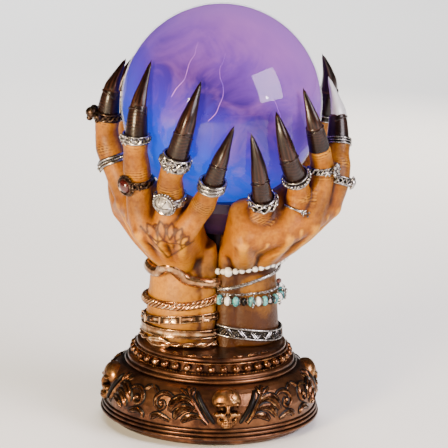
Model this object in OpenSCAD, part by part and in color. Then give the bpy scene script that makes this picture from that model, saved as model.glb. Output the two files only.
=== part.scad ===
// Plasma ball held by two ringed, clawed hands on a round turned plinth.
// Millimetres. +Z is up, the front faces -Y, the origin is the centre of the base on the table.

/* [Globe] */
// Outer diameter of the glass globe
globe_d = 127; // [116:1:135]
// Thickness of the globe's glass
glass_wall = 2; // [1.5:0.1:3]
// Height of the globe's lowest point above the base
globe_lift = 89.5; // [86:0.5:98]
// Sideways offset of the globe and its support tube from the middle of the base
globe_x = 2; // [0:0.5:3]
// Outer diameter of the globe's glass neck
neck_d = 22; // [18:1:24]
// Diameter of the glass electrode bulb inside the globe
bulb_d = 16; // [12:1:20]
// Height of the electrode bulb's centre above the globe's lowest point
bulb_height = 23; // [16:1:60]

/* [Collar and tube] */
// Outer diameter of the cup under the globe
collar_d = 74; // [66:1:78]
// Outer diameter of the support tube
tube_d = 18; // [15:0.5:20]
// Wall of the support tube
tube_wall = 3; // [2:0.5:4]

/* [Base] */
// Largest diameter of the base, over its lowest reed
base_d = 140.4; // [132:0.2:160]
// Diameter of the foot under the reeds
foot_d = 129; // [124:1:131]
// Diameter of the base at the foot of the curved body
body_low_d = 135; // [133:1:136]
// Diameter of the base at the top of the curved body
body_top_d = 110; // [106:1:114]
// Height of the top of the curved body
body_top = 37.5; // [36:0.5:40]
// Height of the top of the base
base_top = 52.5; // [52:0.5:56]
// Wall of the base shell
base_wall = 4; // [3:0.5:5]
// Number of beads around the neck of the base
bead_count = 40; // [30:1:42]
// Diameter of one bead
bead_d = 5.2; // [4:0.2:5.6]
// Height of a rubber foot below the base
foot_stand = 1; // [0.5:0.1:2]

/* [Wrists] */
// Radius of a wrist where it meets the base
wrist_low_r = 24; // [22:0.5:26]
// Radius of a wrist under the hand
wrist_top_r = 19.5; // [18:0.5:21]
// Length of a wrist above the base
wrist_h = 59.5; // [56:0.5:63]
// Distance from the seam between the hands to a wrist's axis
wrist_offset = 20; // [19:0.5:22]

/* [Jewellery] */
// Gauge of the finger rings' wire
ring_wire = 2.4; // [2:0.1:2.8]
// Gauge of the bangles
bangle_wire = 4.4; // [3.5:0.1:5]

/* [Electrics] */
// Travel of the switch knob each way from off
switch_travel = 3; // [2:0.5:4]
// Radius of the power socket's centre pin
jack_pin_r = 1.05; // [0.9:0.05:1.3]
// Radius of the power socket's bore
jack_bore_r = 3.15; // [2.8:0.05:3.4]
// Length of the circuit board
board_l = 66; // [56:1:70]
// Width of the circuit board
board_w = 44; // [40:1:48]

/* [Fits] */
// Clearance between parts that only pass each other
clear = 0.3; // [0.2:0.05:0.5]
// Clearance of a part that slides
slide_clear = 0.25; // [0.15:0.05:0.4]
// Glue line under the trim of the base
glue = 0.15; // [0.1:0.05:0.3]

/* [Hidden] */

fine = 96;
eps = 0.01;
globe_r = globe_d / 2;
globe_bottom = base_top + globe_lift;
globe_z = globe_bottom + globe_r;
globe_c = [globe_x, 0, globe_z];
seam_x = 0;
wrist_top = base_top + wrist_h;

// Base
shell_z = foot_stand;
foot_r = foot_d / 2;
foot_top = 5.5;
reed_h = 2.5;
reed_r = reed_h / 2;
reeds = 3;
body_low = foot_top + reeds * reed_h;
low_r = body_low_d / 2;
top_r = body_top_d / 2;
bead_z = 46;
bead_inset = 5.4;
bead_ring_r = top_r - bead_inset;
crown_r = bead_ring_r - bead_d / 2;
foot_edge = 1.5;
reed_lean = 0.75;
cover_h = 3;
cover_r = foot_r - base_wall;
cover_z = shell_z;
cover_top = cover_z + cover_h;
top_plate = 4;
ceiling_z = base_top - top_plate;
cover_screw_at = 37;
screw_r = 1.5;
screw_head_r = 2.9;
screw_head_h = 1.6;
thread_gap = 0.03;

// Rear panel, facing +Y
panel_w = 40;
panel_h = 20;
panel_t = 2.5;
panel_z = 24;
panel_inset = 11.5;
panel_y = low_r - panel_inset;
panel_lip = 3;
panel_screw_r = 0.9;
panel_screw_x = panel_w / 2 - 1.5;
switch_x = 7;
jack_x = -6;

// Board and what stands on it
board_t = 1.6;
board_gap = 6;
board_z = cover_top + board_gap;
board_top = board_z + board_t;
board_y = -6;
board_screw_in = 4;

// Tube, collar and neck
tube_r = tube_d / 2;
tube_bore = tube_r - tube_wall;
flange_r = tube_r + 7;
flange_h = 3;
nut_h = 5;
nut_r = tube_r + 5;
neck_r = neck_d / 2;
neck_bottom = globe_bottom - 9;
tube_top = neck_bottom - 3;
collar_bottom = tube_top - 6;
collar_top = globe_bottom + 7;
collar_r = collar_d / 2;
seat_gap = 0.8;
gasket_wire = 1.15;
gasket_at = 25;
bulb_r = bulb_d / 2;
bulb_z = globe_bottom + bulb_height;
stem_r = neck_r - glass_wall - 3;

function clampv(a, lo, hi) = min(max(a, lo), hi);
function unit(v) = v / norm(v);
// Radius of the curved body of the base at height z
function body_r(z) =
    top_r + (low_r - top_r)
    * sqrt(1 - pow(clampv((z - body_low) / (body_top - body_low), 0, 1), 2));
// Point around the globe: longitude from the front towards +X, latitude, stand-off from the glass
function about_globe(lon, lat, off) =
    globe_c + (globe_r + off) * [sin(lon) * cos(lat), -cos(lon) * cos(lat), sin(lat)];

// Catmull-Rom curve through stations [x, y, z, radius]
function blend4(a, b, c, d, t) =
    0.5 * (2 * b + (c - a) * t + (2 * a - 5 * b + 4 * c - d) * t * t
    + (3 * b - a - 3 * c + d) * t * t * t);
function smooth_path(p, steps) = [
    for (i = [0:len(p) - 2])
        for (k = [0:steps - 1])
            blend4(p[max(i - 1, 0)], p[i], p[i + 1], p[min(i + 2, len(p) - 1)], k / steps),
    p[len(p) - 1]
];
function spot(s) = [s[0], s[1], s[2]];
function heading(p, i) =
    unit(spot(p[min(i + 1, len(p) - 1)]) - spot(p[max(i - 1, 0)]));
// Direction square to the path that points away from the centre c
function outward(p, i, c) =
    let (t = heading(p, i), r = spot(p[i]) - c) unit(r - (r * t) * t);

// Closed tube from station a to station b, whose sides face away from c; wide widens it sideways
module sweep(p, a, b, sides, c, wide = 1) {
    rings = [for (i = [a:b])
        let (t = heading(p, i), u = outward(p, i, c), v = cross(t, u))
            [for (k = [0:sides - 1])
                spot(p[i]) + p[i][3] * (u * cos(360 * k / sides) + wide * v * sin(360 * k / sides))]];
    n = b - a;
    points = [for (r = rings) for (q = r) q];
    sides_lower = [for (i = [0:n - 1]) for (k = [0:sides - 1])
        [i * sides + k, (i + 1) * sides + k, (i + 1) * sides + (k + 1) % sides]];
    sides_upper = [for (i = [0:n - 1]) for (k = [0:sides - 1])
        [i * sides + k, (i + 1) * sides + (k + 1) % sides, i * sides + (k + 1) % sides]];
    start_cap = [[for (k = [0:sides - 1]) k]];
    end_cap = [[for (k = [sides - 1:-1:0]) n * sides + k]];
    polyhedron(points, concat(start_cap, sides_lower, sides_upper, end_cap), convexity = 6);
}

// ---- Fingers: [longitude, latitude, stand-off, radius] from the palm to the claw's tip
left_index = [[-80, -45, 20, 8.6], [-86, -36, 15.5, 8.2], [-89, -27, 13.4, 7.8], [-91, -16, 11.4, 7.4],
    [-89, -5, 8.8, 7.2], [-88, 9, 6.8, 5], [-98, 24, 3, 0.7]];
left_middle = [[-56, -49, 31, 9], [-60, -43, 23, 8.2], [-59, -32, 14.5, 7.8], [-58, -20, 10.5, 7.6],
    [-56, -10, 9.4, 7.2], [-56, 7, 6.8, 5.2], [-60, 30, 2.6, 0.7]];
left_third = [[-46, -51, 29, 9], [-43, -47, 19, 8], [-40, -40, 13, 7.6], [-38, -30, 10, 7.4],
    [-33, -19, 9, 7.2], [-26, 4, 7, 5], [-22, 23, 2.6, 0.7]];
left_little = [[-33, -52, 27, 8], [-26, -49, 19, 7.2], [-19, -42, 12.5, 6.8], [-14, -32, 9, 6.4],
    [-9, -16, 7, 4.6], [-3, 0, 3.4, 0.7]];
left_thumb = [[-100, -50, 27, 9.5], [-116, -42, 24, 9], [-125, -30, 17, 8.4], [-129, -14, 11.5, 8],
    [-130, 4, 8.4, 5.8], [-128, 22, 3.2, 0.7]];
right_little = [[8, -55, 28, 8], [17, -54, 21, 7.4], [21, -49, 14.5, 7], [20, -43, 10.6, 6.6],
    [15, -33, 8.6, 5.8], [10, -18, 6.4, 4.2], [6, -4, 3.4, 0.7]];
right_third = [[34, -50, 29, 8.6], [41, -43, 21, 7.2], [42, -37, 15, 6.8], [37, -29, 10.6, 6.8],
    [30, -21, 8.6, 6.2], [23, -6, 6.4, 4.6], [20, 7, 3.2, 0.7]];
right_middle = [[46, -44, 30, 8.6], [52, -34, 22, 7.2], [54, -25, 14.5, 7], [50, -15, 9.5, 6.6],
    [43, 0, 6.6, 4.8], [41, 17, 3.2, 0.7]];
right_index = [[60, -38, 28, 8.8], [62, -28, 24, 7.8], [66, -22, 18, 7.4], [71, -15, 13.5, 7.2],
    [76, -1, 9, 5], [81, 16, 5.4, 0.7]];
right_thumb = [[104, -48, 27, 9.5], [113, -38, 24, 9], [114, -24, 17.5, 8.2], [109, -9, 12.6, 7.4],
    [104, 8, 11, 5.2], [99, 24, 9, 0.7]];
left_fingers = [left_little, left_third, left_middle, left_index, left_thumb];
right_fingers = [right_little, right_third, right_middle, right_index, right_thumb];
// Station at which each claw is fitted over its finger's end
left_claw_from = [3, 4, 4, 4, 3];
right_claw_from = [3, 3, 3, 3, 3];

steps = 2;
finger_sides = 10;
claw_sides = 10;
ring_gap = 0.35;
function finger_path(f) =
    smooth_path([for (s = f) concat(about_globe(s[0], s[1], s[2]), [s[3]])], steps);

// Ring frame: local z runs along the finger, local +x points away from the glass
module on_finger(f, station) {
    p = finger_path(f);
    i = round(station * steps);
    t = heading(p, i);
    u = outward(p, i, globe_c);
    v = cross(t, u);
    multmatrix([[u[0], v[0], t[0], p[i][0]], [u[1], v[1], t[1], p[i][1]],
        [u[2], v[2], t[2], p[i][2]], [0, 0, 0, 1]])
        children();
}
function finger_r(f, station) = finger_path(f)[round(station * steps)][3];
function stand_off(f, station) =
    norm(spot(finger_path(f)[round(station * steps)]) - globe_c) - globe_r;
// Half-angle left open on the glass side, so that a ring of outer radius r clears the globe
function open_half(f, station, r) =
    let (room = stand_off(f, station) - clear) room > r ? 22 : min(acos(room / r) + 8, 100);
// Open band of wire round a finger, its inside ring_gap off the skin
module wire_ring(f, station, wire, shift = 0) {
    r = finger_r(f, station) + ring_gap + wire / 2;
    open = open_half(f, station, r + wire / 2);
    on_finger(f, station)
        translate([0, 0, shift])
            rotate([0, 0, open - 180])
                rotate_extrude(angle = 360 - 2 * open, $fn = fine)
                    translate([r, 0]) circle(d = wire, $fn = 24);
}
// Flat open band of the given width round a finger
module flat_ring(f, station, width, thick, shift = 0) {
    r = finger_r(f, station) + ring_gap;
    open = open_half(f, station, r + thick);
    on_finger(f, station)
        translate([0, 0, shift])
            rotate([0, 0, open - 180])
                rotate_extrude(angle = 360 - 2 * open, $fn = fine)
                    translate([r, -width / 2]) square([thick, width]);
}
// Round setting that stands on a ring, away from the glass
module setting(f, station, d, h) {
    r = finger_r(f, station) + ring_gap + 0.4;
    on_finger(f, station)
        translate([r, 0, 0]) rotate([0, 90, 0]) cylinder(d = d, h = h, $fn = 48);
}
// Ball that stands on a ring
module ring_ball(f, station, d, lift) {
    r = finger_r(f, station) + ring_gap + lift;
    on_finger(f, station) translate([r, 0, 0]) sphere(d = d, $fn = 48);
}

// ---- Base -----------------------------------------------------------------------------------
body_steps = 8;
function body_outline() = [for (k = [0:body_steps])
    let (z = body_low + (body_top - body_low) * sin(90 * k / body_steps)) [body_r(z), z]];

module base_outline() {
    difference() {
        union() {
            polygon(concat(
                [[0, shell_z], [foot_r - foot_edge, shell_z], [foot_r, shell_z + foot_edge],
                    [foot_r, foot_top]],
                [[low_r, foot_top], [low_r, body_low]],
                body_outline(),
                [[top_r - 1, body_top], [top_r - 1, body_top + 1.4], [top_r - 2.5, body_top + 5],
                    [crown_r, body_top + 5.6], [crown_r, bead_z + 3], [crown_r - 1, base_top],
                    [0, base_top]]));
            for (k = [0:reeds - 1])
                translate([base_d / 2 - reed_r - reed_lean * k, foot_top + reed_r + k * reed_h])
                    circle(r = reed_r, $fn = 24);
            translate([low_r - 2, foot_top])
                polygon([[0, 0], [base_d / 2 - low_r + 0.8, 0],
                    [base_d / 2 - low_r - 0.7, reeds * reed_h], [0, reeds * reed_h]]);
            translate([top_r - 1.2, body_top + 1.4]) circle(r = 1.4, $fn = 24);
            translate([top_r - 2.8, body_top + 4]) circle(r = 1.2, $fn = 24);
            translate([crown_r - 0.9, base_top - 1.8]) circle(r = 1.8, $fn = 24);
        }
        translate([-foot_r, 0]) square([foot_r, base_top]);
    }
}
module base_hollow() {
    polygon([[0, 0], [cover_r, 0], [cover_r, body_low], [top_r - base_wall, body_top],
        [crown_r - base_wall, body_top + 5], [crown_r - base_wall, ceiling_z], [0, ceiling_z]]);
}
module four_posts(x, y) {
    for (sx = [-1, 1]) for (sy = [-1, 1]) translate([sx * x, sy * y, 0]) children();
}
boss_r = 4;
boss_h = 24;
module panel_block(grow, y0, y1) {
    translate([-panel_w / 2 - grow, y0, panel_z - panel_h / 2 - grow])
        cube([panel_w + 2 * grow, y1 - y0, panel_h + 2 * grow]);
}
module base_shell() {
    color("sienna") difference() {
        union() {
            difference() {
                rotate_extrude($fn = fine) base_outline();
                rotate_extrude($fn = fine) base_hollow();
            }
            intersection() {
                rotate_extrude($fn = fine) base_outline();
                panel_block(3, panel_y - 4, base_d);
            }
            intersection() {
                rotate_extrude($fn = fine) base_outline();
                four_posts(cover_screw_at, cover_screw_at)
                    translate([0, 0, cover_top]) cylinder(r = boss_r, h = boss_h, $fn = 48);
            }
        }
        four_posts(cover_screw_at, cover_screw_at)
            translate([0, 0, cover_top - eps]) cylinder(r = screw_r + thread_gap, h = 14, $fn = 48);
        panel_block(clear, panel_y, base_d);
        panel_block(-panel_lip, panel_y - 10, base_d);
        for (s = [-1, 1])
            translate([s * panel_screw_x, panel_y - 3.5, panel_z])
                rotate([-90, 0, 0]) cylinder(r = panel_screw_r, h = 4, $fn = 32);
        translate([globe_x, 0, ceiling_z - 1])
            cylinder(r = tube_r + clear, h = top_plate + 2, $fn = fine);
    }
}
module bead_band() {
    color("peru") for (k = [0:bead_count - 1])
        rotate([0, 0, 360 * k / bead_count])
            translate([bead_ring_r, 0, bead_z]) sphere(d = bead_d, $fn = 32);
}

// ---- Trim of the base -----------------------------------------------------------------------
// Station on the curved body: [longitude, height, gauge]
function on_body(lon, z, r, s) =
    [body_r(z) * sin(lon) * s, -body_r(z) * cos(lon), z, r];
// Point moved out until it clears the body by the glue line
function hug(q) =
    let (r = norm([q[0], q[1]]), f = max(1, (body_r(q[2]) + glue) / r)) [q[0] * f, q[1] * f, q[2]];
// Tube that follows the stations and lies flat against the body
module body_stroke(stations, s, sides = 8) {
    p = smooth_path([for (q = stations) on_body(q[0], q[1], q[2], 1)], 3);
    n = len(p) - 1;
    points = [for (i = [0:n])
        let (t = heading(p, i), u = outward(p, i, [0, 0, p[i][2]]), v = cross(t, u))
            for (k = [0:sides - 1])
                hug(spot(p[i]) + p[i][3] * (u * cos(360 * k / sides) + v * sin(360 * k / sides)))];
    walls = [for (i = [0:n - 1]) for (k = [0:sides - 1]) for (h = [0, 1])
        h == 0 ? [i * sides + k, (i + 1) * sides + k, (i + 1) * sides + (k + 1) % sides]
            : [i * sides + k, (i + 1) * sides + (k + 1) % sides, i * sides + (k + 1) % sides]];
    caps = [for (k = [1:sides - 2]) for (e = [0, 1])
        e == 0 ? [0, k, k + 1] : [n * sides, n * sides + k + 1, n * sides + k]];
    mirror([s < 0 ? 1 : 0, 0, 0]) polyhedron(points, concat(walls, caps), convexity = 6);
}
stem_line = [[10.5, 16, 1], [12.8, 19, 1.3], [16.2, 25, 1.4], [20, 31, 1.3], [23.5, 35, 1]];
leaf_line = [[19, 24.5, 1.2], [24, 29, 1.8], [29, 27, 2.4], [32, 21, 2.2], [33, 16, 1]];
curl_line = [[35, 20, 1], [38, 16.5, 1.6], [41.5, 18.5, 1.8], [42, 24, 1.4], [39.5, 26.5, 0.8]];
cartouche_line = [[17, 34.5, 1], [15, 30, 1.3], [11, 23, 1.3], [7, 17, 1]];
module scroll_ornaments() {
    color("saddlebrown") for (quarter = [0:3]) rotate([0, 0, 90 * quarter]) for (s = [-1, 1]) {
        if (quarter != 2) body_stroke(stem_line, s);
        if (quarter != 2) body_stroke(leaf_line, s);
        body_stroke(curl_line, s);
    }
}
module cartouche_bands() {
    color("black") for (quarter = [-1:1]) rotate([0, 0, 90 * quarter]) for (s = [-1, 1])
        body_stroke(cartouche_line, s);
}
skull_r = 8.4;
skull_z = 27;
skull_in = low_r - 5;
module skull_ornaments() {
    color("goldenrod") for (quarter = [-1:1]) rotate([0, 0, 90 * quarter]) difference() {
        union() {
            translate([0, -skull_in, skull_z]) sphere(r = skull_r, $fn = 48);
            translate([0, -skull_in - 2, skull_z - 6]) sphere(r = 6, $fn = 48);
            translate([0, -skull_in - 3.6, body_low + 1]) cylinder(r = 3.8, h = 7, $fn = 48);
        }
        for (s = [-1, 1])
            translate([s * 3.4, -skull_in - 9, skull_z - 4]) sphere(r = 2.3, $fn = 32);
        rotate_extrude($fn = fine)
            translate([glue, 0]) polygon(concat([[0, 0], [low_r, 0]], body_outline(), [[0, body_top]]));
    }
}

// ---- Underside ------------------------------------------------------------------------------
rubber_r = 6;
rubber_at = 48;
rubber_recess = 1;
post_r = 3;
post_x = board_l / 2 - board_screw_in;
post_y = board_w / 2 - board_screw_in;
board_screw_r = 1.1;
module bottom_cover() {
    color("dimgray") difference() {
        union() {
            translate([0, 0, cover_z]) cylinder(r = cover_r - clear, h = cover_h, $fn = fine);
            translate([0, board_y, cover_top - eps]) four_posts(post_x, post_y)
                cylinder(r = post_r, h = board_gap + eps, $fn = 32);
        }
        four_posts(cover_screw_at, cover_screw_at) {
            translate([0, 0, cover_z - 1]) cylinder(r = screw_r + clear, h = cover_h + 2, $fn = 32);
            translate([0, 0, cover_z - 1])
                cylinder(r = screw_head_r + clear, h = 1 + screw_head_h, $fn = 32);
        }
        for (k = [0:3]) rotate([0, 0, 90 * k])
            translate([rubber_at, 0, cover_z - 1])
                cylinder(r = rubber_r + thread_gap, h = 1 + rubber_recess, $fn = 48);
        translate([0, board_y, board_z - 5]) four_posts(post_x, post_y)
            cylinder(r = board_screw_r + thread_gap, h = 6, $fn = 32);
    }
}
module cover_screws() {
    color("silver") four_posts(cover_screw_at, cover_screw_at) difference() {
        union() {
            translate([0, 0, cover_z]) cylinder(r = screw_head_r, h = screw_head_h, $fn = 32);
            translate([0, 0, cover_z + screw_head_h - eps]) cylinder(r = screw_r, h = 11, $fn = 32);
        }
        for (a = [0, 90]) rotate([0, 0, a])
            translate([-1.8, -0.35, cover_z - 1]) cube([3.6, 0.7, 1.8]);
    }
}
module rubber_feet() {
    color("black") for (k = [0:3]) rotate([0, 0, 90 * k])
        translate([rubber_at, 0, 0]) cylinder(r = rubber_r, h = foot_stand + rubber_recess, $fn = 48);
}

// ---- Rear panel, switch and socket ------------------------------------------------------------
knob_w = 3;
knob_out = 3;
knob_in = 3;
switch_l = 14;
switch_h = 7;
switch_d = 7;
jack_w = 9;
jack_h = 10;
jack_d = 12;
jack_nose_r = 4.3;
jack_depth = 9.5;
jack_mouth_y = panel_y + panel_t + 0.5;
module knob_slot(y0, y1) {
    w = knob_w + 2 * switch_travel + 2 * slide_clear;
    h = knob_w + 2 * slide_clear;
    translate([switch_x - w / 2, y0, panel_z - h / 2]) cube([w, y1 - y0, h]);
}
module rear_panel() {
    color("black") difference() {
        panel_block(0, panel_y, panel_y + panel_t);
        knob_slot(panel_y - 1, panel_y + panel_t + 1);
        translate([jack_x, panel_y - 1, panel_z]) rotate([-90, 0, 0])
            cylinder(r = jack_nose_r + clear, h = panel_t + 2, $fn = 48);
        for (s = [-1, 1]) translate([s * panel_screw_x, panel_y - 1, panel_z]) rotate([-90, 0, 0])
            cylinder(r = panel_screw_r + thread_gap, h = panel_t + 2, $fn = 32);
    }
}
module panel_screws() {
    color("silver") for (s = [-1, 1])
        translate([s * panel_screw_x, panel_y + panel_t, panel_z]) rotate([-90, 0, 0]) {
            cylinder(r = 1.4, h = 1, $fn = 32);
            translate([0, 0, -panel_t - 3])
                cylinder(r = panel_screw_r - thread_gap, h = panel_t + 3 + eps, $fn = 32);
        }
}
module switch_body() {
    color("gray") difference() {
        translate([switch_x - switch_l / 2, panel_y - switch_d, panel_z - switch_h / 2])
            cube([switch_l, switch_d, switch_h]);
        knob_slot(panel_y - knob_in - slide_clear, panel_y + 1);
    }
}
module switch_knob() {
    color("white") translate([switch_x - knob_w / 2, panel_y - knob_in, panel_z - knob_w / 2]) {
        cube([knob_w, knob_in + panel_t + knob_out, knob_w]);
        for (k = [0:2]) translate([0.3 + k * 0.9, knob_in + panel_t + knob_out - eps, 0])
            cube([0.6, 0.4, knob_w]);
    }
}
module dc_jack() {
    color("black") union() {
        difference() {
            union() {
                translate([jack_x - jack_w / 2, panel_y - jack_d, panel_z - jack_h / 2])
                    cube([jack_w, jack_d, jack_h]);
                translate([jack_x, panel_y - 1, panel_z]) rotate([-90, 0, 0])
                    cylinder(r = jack_nose_r, h = panel_t + 1.5, $fn = 48);
            }
            translate([jack_x, jack_mouth_y - jack_depth, panel_z]) rotate([-90, 0, 0])
                cylinder(r = jack_bore_r, h = jack_depth + 1, $fn = 48);
        }
        translate([jack_x, jack_mouth_y - jack_depth - eps, panel_z]) rotate([-90, 0, 0])
            cylinder(r = jack_pin_r, h = jack_depth - 0.5, $fn = 48);
    }
}

// ---- Electronics ------------------------------------------------------------------------------
core_x = -15;
core_y = -8;
core_w = 26;
core_d = 10;
core_leg = 6;
core_h = 24;
coil_r = 9.5;
coil_h = core_h - 2 * core_leg - 2 * clear;
coil_x = core_x - (core_w - core_leg) / 2;
coil_z = board_top + core_leg + clear;
sink_x = 16;
sink_w = 20;
sink_y = board_y + board_w / 2 - 8.5;
sink_t = 2;
sink_h = 24;
fins = 5;
fin_t = 1.6;
fin_d = 5;
fin_pitch = (sink_w - fin_t) / (fins - 1);
module circuit_board() {
    color("darkgreen") difference() {
        translate([-board_l / 2, board_y - board_w / 2, board_z]) cube([board_l, board_w, board_t]);
        translate([0, board_y, board_z - 1]) four_posts(post_x, post_y)
            cylinder(r = board_screw_r + clear, h = board_t + 2, $fn = 32);
    }
}
module board_screws() {
    color("silver") translate([0, board_y, board_top]) four_posts(post_x, post_y) {
        cylinder(r = 2.1, h = 1.4, $fn = 32);
        translate([0, 0, -board_t - 4]) cylinder(r = board_screw_r, h = board_t + 4 + eps, $fn = 32);
    }
}
module transformer_core() {
    color("dimgray") translate([core_x - core_w / 2, core_y - core_d / 2, board_top]) difference() {
        cube([core_w, core_d, core_h]);
        translate([core_leg, -1, core_leg])
            cube([core_w - 2 * core_leg, core_d + 2, core_h - 2 * core_leg]);
    }
}
module transformer_coil() {
    color("orangered") difference() {
        translate([coil_x, core_y, coil_z]) cylinder(r = coil_r, h = coil_h, $fn = 64);
        translate([coil_x - core_leg / 2 - clear, core_y - core_d / 2 - clear, coil_z - 1])
            cube([core_leg + 2 * clear, core_d + 2 * clear, coil_h + 2]);
    }
}
module power_transistor() {
    color("black") {
        translate([sink_x - 5, sink_y - 4.5, board_top + 5]) cube([10, 4.5, 9]);
        translate([sink_x - 5, sink_y - 1.3, board_top + 14 - eps]) cube([10, 1.3, 6]);
        for (k = [-1:1]) translate([sink_x + 2.5 * k - 0.4, sink_y - 2.6, board_top])
            cube([0.8, 0.6, 5 + eps]);
    }
}
module heat_sink() {
    color("lightgray") {
        translate([sink_x - sink_w / 2, sink_y, board_top]) cube([sink_w, sink_t, sink_h]);
        for (k = [0:fins - 1])
            translate([sink_x - sink_w / 2 + k * fin_pitch, sink_y + sink_t - eps, board_top])
                cube([fin_t, fin_d, sink_h]);
    }
}
module capacitors() {
    color("navy") for (c = [[2, 4, 12], [12, 3.2, 10], [20, 2.5, 8]])
        translate([c[0], board_y - board_w / 2 + 7, board_top]) cylinder(r = c[1], h = c[2], $fn = 48);
}
lead_r = 1.5;
lead_top = neck_bottom - 2;
module hv_lead() {
    y0 = core_y - coil_r + lead_r + 0.4;
    z0 = coil_z + coil_h;
    tz = ceiling_z - nut_h;
    color("red") sweep(smooth_path([
        [coil_x, y0, z0, lead_r], [coil_x, y0, z0 + 5, lead_r],
        [coil_x + 7, y0 + 5, z0 + 9.5, lead_r], [globe_x - 8, -4.5, tz - 4, lead_r],
        [globe_x - 1, -0.6, tz - 1, lead_r], [globe_x, 0, tz + 6, lead_r],
        [globe_x, 0, base_top + 30, lead_r], [globe_x, 0, lead_top, lead_r]], 2),
        0, 14, 8, [0, -200, tz]);
}
wire_r = 0.8;
wire_start = 0.1;
module power_leads() {
    color("firebrick") for (w = [[jack_x, panel_y - jack_d, -9], [switch_x, panel_y - switch_d, -3]])
        sweep(smooth_path([
            [w[0], w[1] - wire_start, panel_z - 2, wire_r], [w[0], w[1] - 3, panel_z - 2.2, wire_r],
            [w[2] + 3, w[1] - 12, panel_z - 6, wire_r],
            [w[2], board_y + board_w / 2 + 2, board_top + 3.5, wire_r],
            [w[2], board_y + board_w / 2 - 2.4, board_top + 2.6, wire_r],
            [w[2], board_y + board_w / 2 - 3, board_top + 0.02, wire_r]], 2),
            0, 10, 8, [200, 0, panel_z]);
}

// ---- Tube, collar and globe ---------------------------------------------------------------------
module support_tube() {
    color("gray") translate([globe_x, 0, 0]) difference() {
        union() {
            translate([0, 0, ceiling_z - nut_h - 1])
                cylinder(r = tube_r, h = tube_top - ceiling_z + nut_h + 1, $fn = fine);
            translate([0, 0, base_top]) cylinder(r = flange_r, h = flange_h, $fn = fine);
        }
        translate([0, 0, ceiling_z - nut_h - 2]) cylinder(r = tube_bore, h = tube_top, $fn = fine);
    }
}
module tube_nut() {
    color("silver") translate([globe_x, 0, ceiling_z - nut_h]) difference() {
        cylinder(r = nut_r, h = nut_h, $fn = 6);
        translate([0, 0, -1]) cylinder(r = tube_r + thread_gap, h = nut_h + 2, $fn = fine);
    }
}
// Outline of the cup under the globe, grown by g
module collar_outline(g) {
    polygon([[0, collar_bottom - g], [14 + g, collar_bottom - g], [20 + g, collar_bottom + 4 - g],
        [collar_r + g, collar_top - 6 - g], [collar_r + g, collar_top + g], [0, collar_top + g]]);
}
gasket_z = globe_z - sqrt(pow(globe_r + gasket_wire, 2) - pow(gasket_at, 2));
module globe_collar() {
    color("#241430") translate([globe_x, 0, 0]) difference() {
        rotate_extrude($fn = fine) collar_outline(0);
        translate([0, 0, globe_z]) sphere(r = globe_r + seat_gap, $fn = 128);
        translate([0, 0, neck_bottom - 0.5]) cylinder(r = neck_r + clear, h = 40, $fn = fine);
        translate([0, 0, collar_bottom - 1])
            cylinder(r = tube_r + thread_gap, h = tube_top - collar_bottom + 1, $fn = fine);
        translate([0, 0, collar_bottom]) cylinder(r = tube_bore, h = 20, $fn = fine);
        translate([0, 0, gasket_z]) rotate_extrude($fn = fine)
            translate([gasket_at, 0]) circle(r = gasket_wire + thread_gap, $fn = 24);
    }
}
module globe_gasket() {
    color("black") translate([globe_x, 0, gasket_z]) rotate_extrude($fn = fine)
        translate([gasket_at, 0]) circle(r = gasket_wire - thread_gap, $fn = 24);
}
module globe_glass() {
    color("mediumslateblue", 0.5) translate([globe_x, 0, 0]) difference() {
        union() {
            translate([0, 0, globe_z]) sphere(r = globe_r, $fn = 128);
            translate([0, 0, neck_bottom])
                cylinder(r = neck_r, h = globe_bottom - neck_bottom + 3, $fn = fine);
        }
        translate([0, 0, globe_z]) sphere(r = globe_r - glass_wall, $fn = 128);
        translate([0, 0, neck_bottom - 1]) cylinder(r = neck_r - glass_wall, h = 20, $fn = fine);
    }
}
bulb_wall = 1.2;
flare_h = 2;
module electrode_bulb() {
    color("lavender", 0.6) translate([globe_x, 0, 0]) difference() {
        union() {
            translate([0, 0, neck_bottom])
                cylinder(r = neck_r - glass_wall - thread_gap, h = flare_h, $fn = fine);
            translate([0, 0, neck_bottom]) cylinder(r = stem_r, h = bulb_z - neck_bottom, $fn = 64);
            translate([0, 0, bulb_z]) sphere(r = bulb_r, $fn = 64);
        }
        translate([0, 0, bulb_z]) sphere(r = bulb_r - bulb_wall, $fn = 64);
        translate([0, 0, neck_bottom - 1])
            cylinder(r = stem_r - bulb_wall, h = bulb_z - neck_bottom + 1, $fn = 64);
    }
}
module electrode_core() {
    color("gray") translate([globe_x, 0, 0]) {
        translate([0, 0, bulb_z]) sphere(r = bulb_r - bulb_wall - 0.2, $fn = 64);
        translate([0, 0, lead_top]) cylinder(r = 2, h = bulb_z - lead_top, $fn = 32);
    }
}

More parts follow.
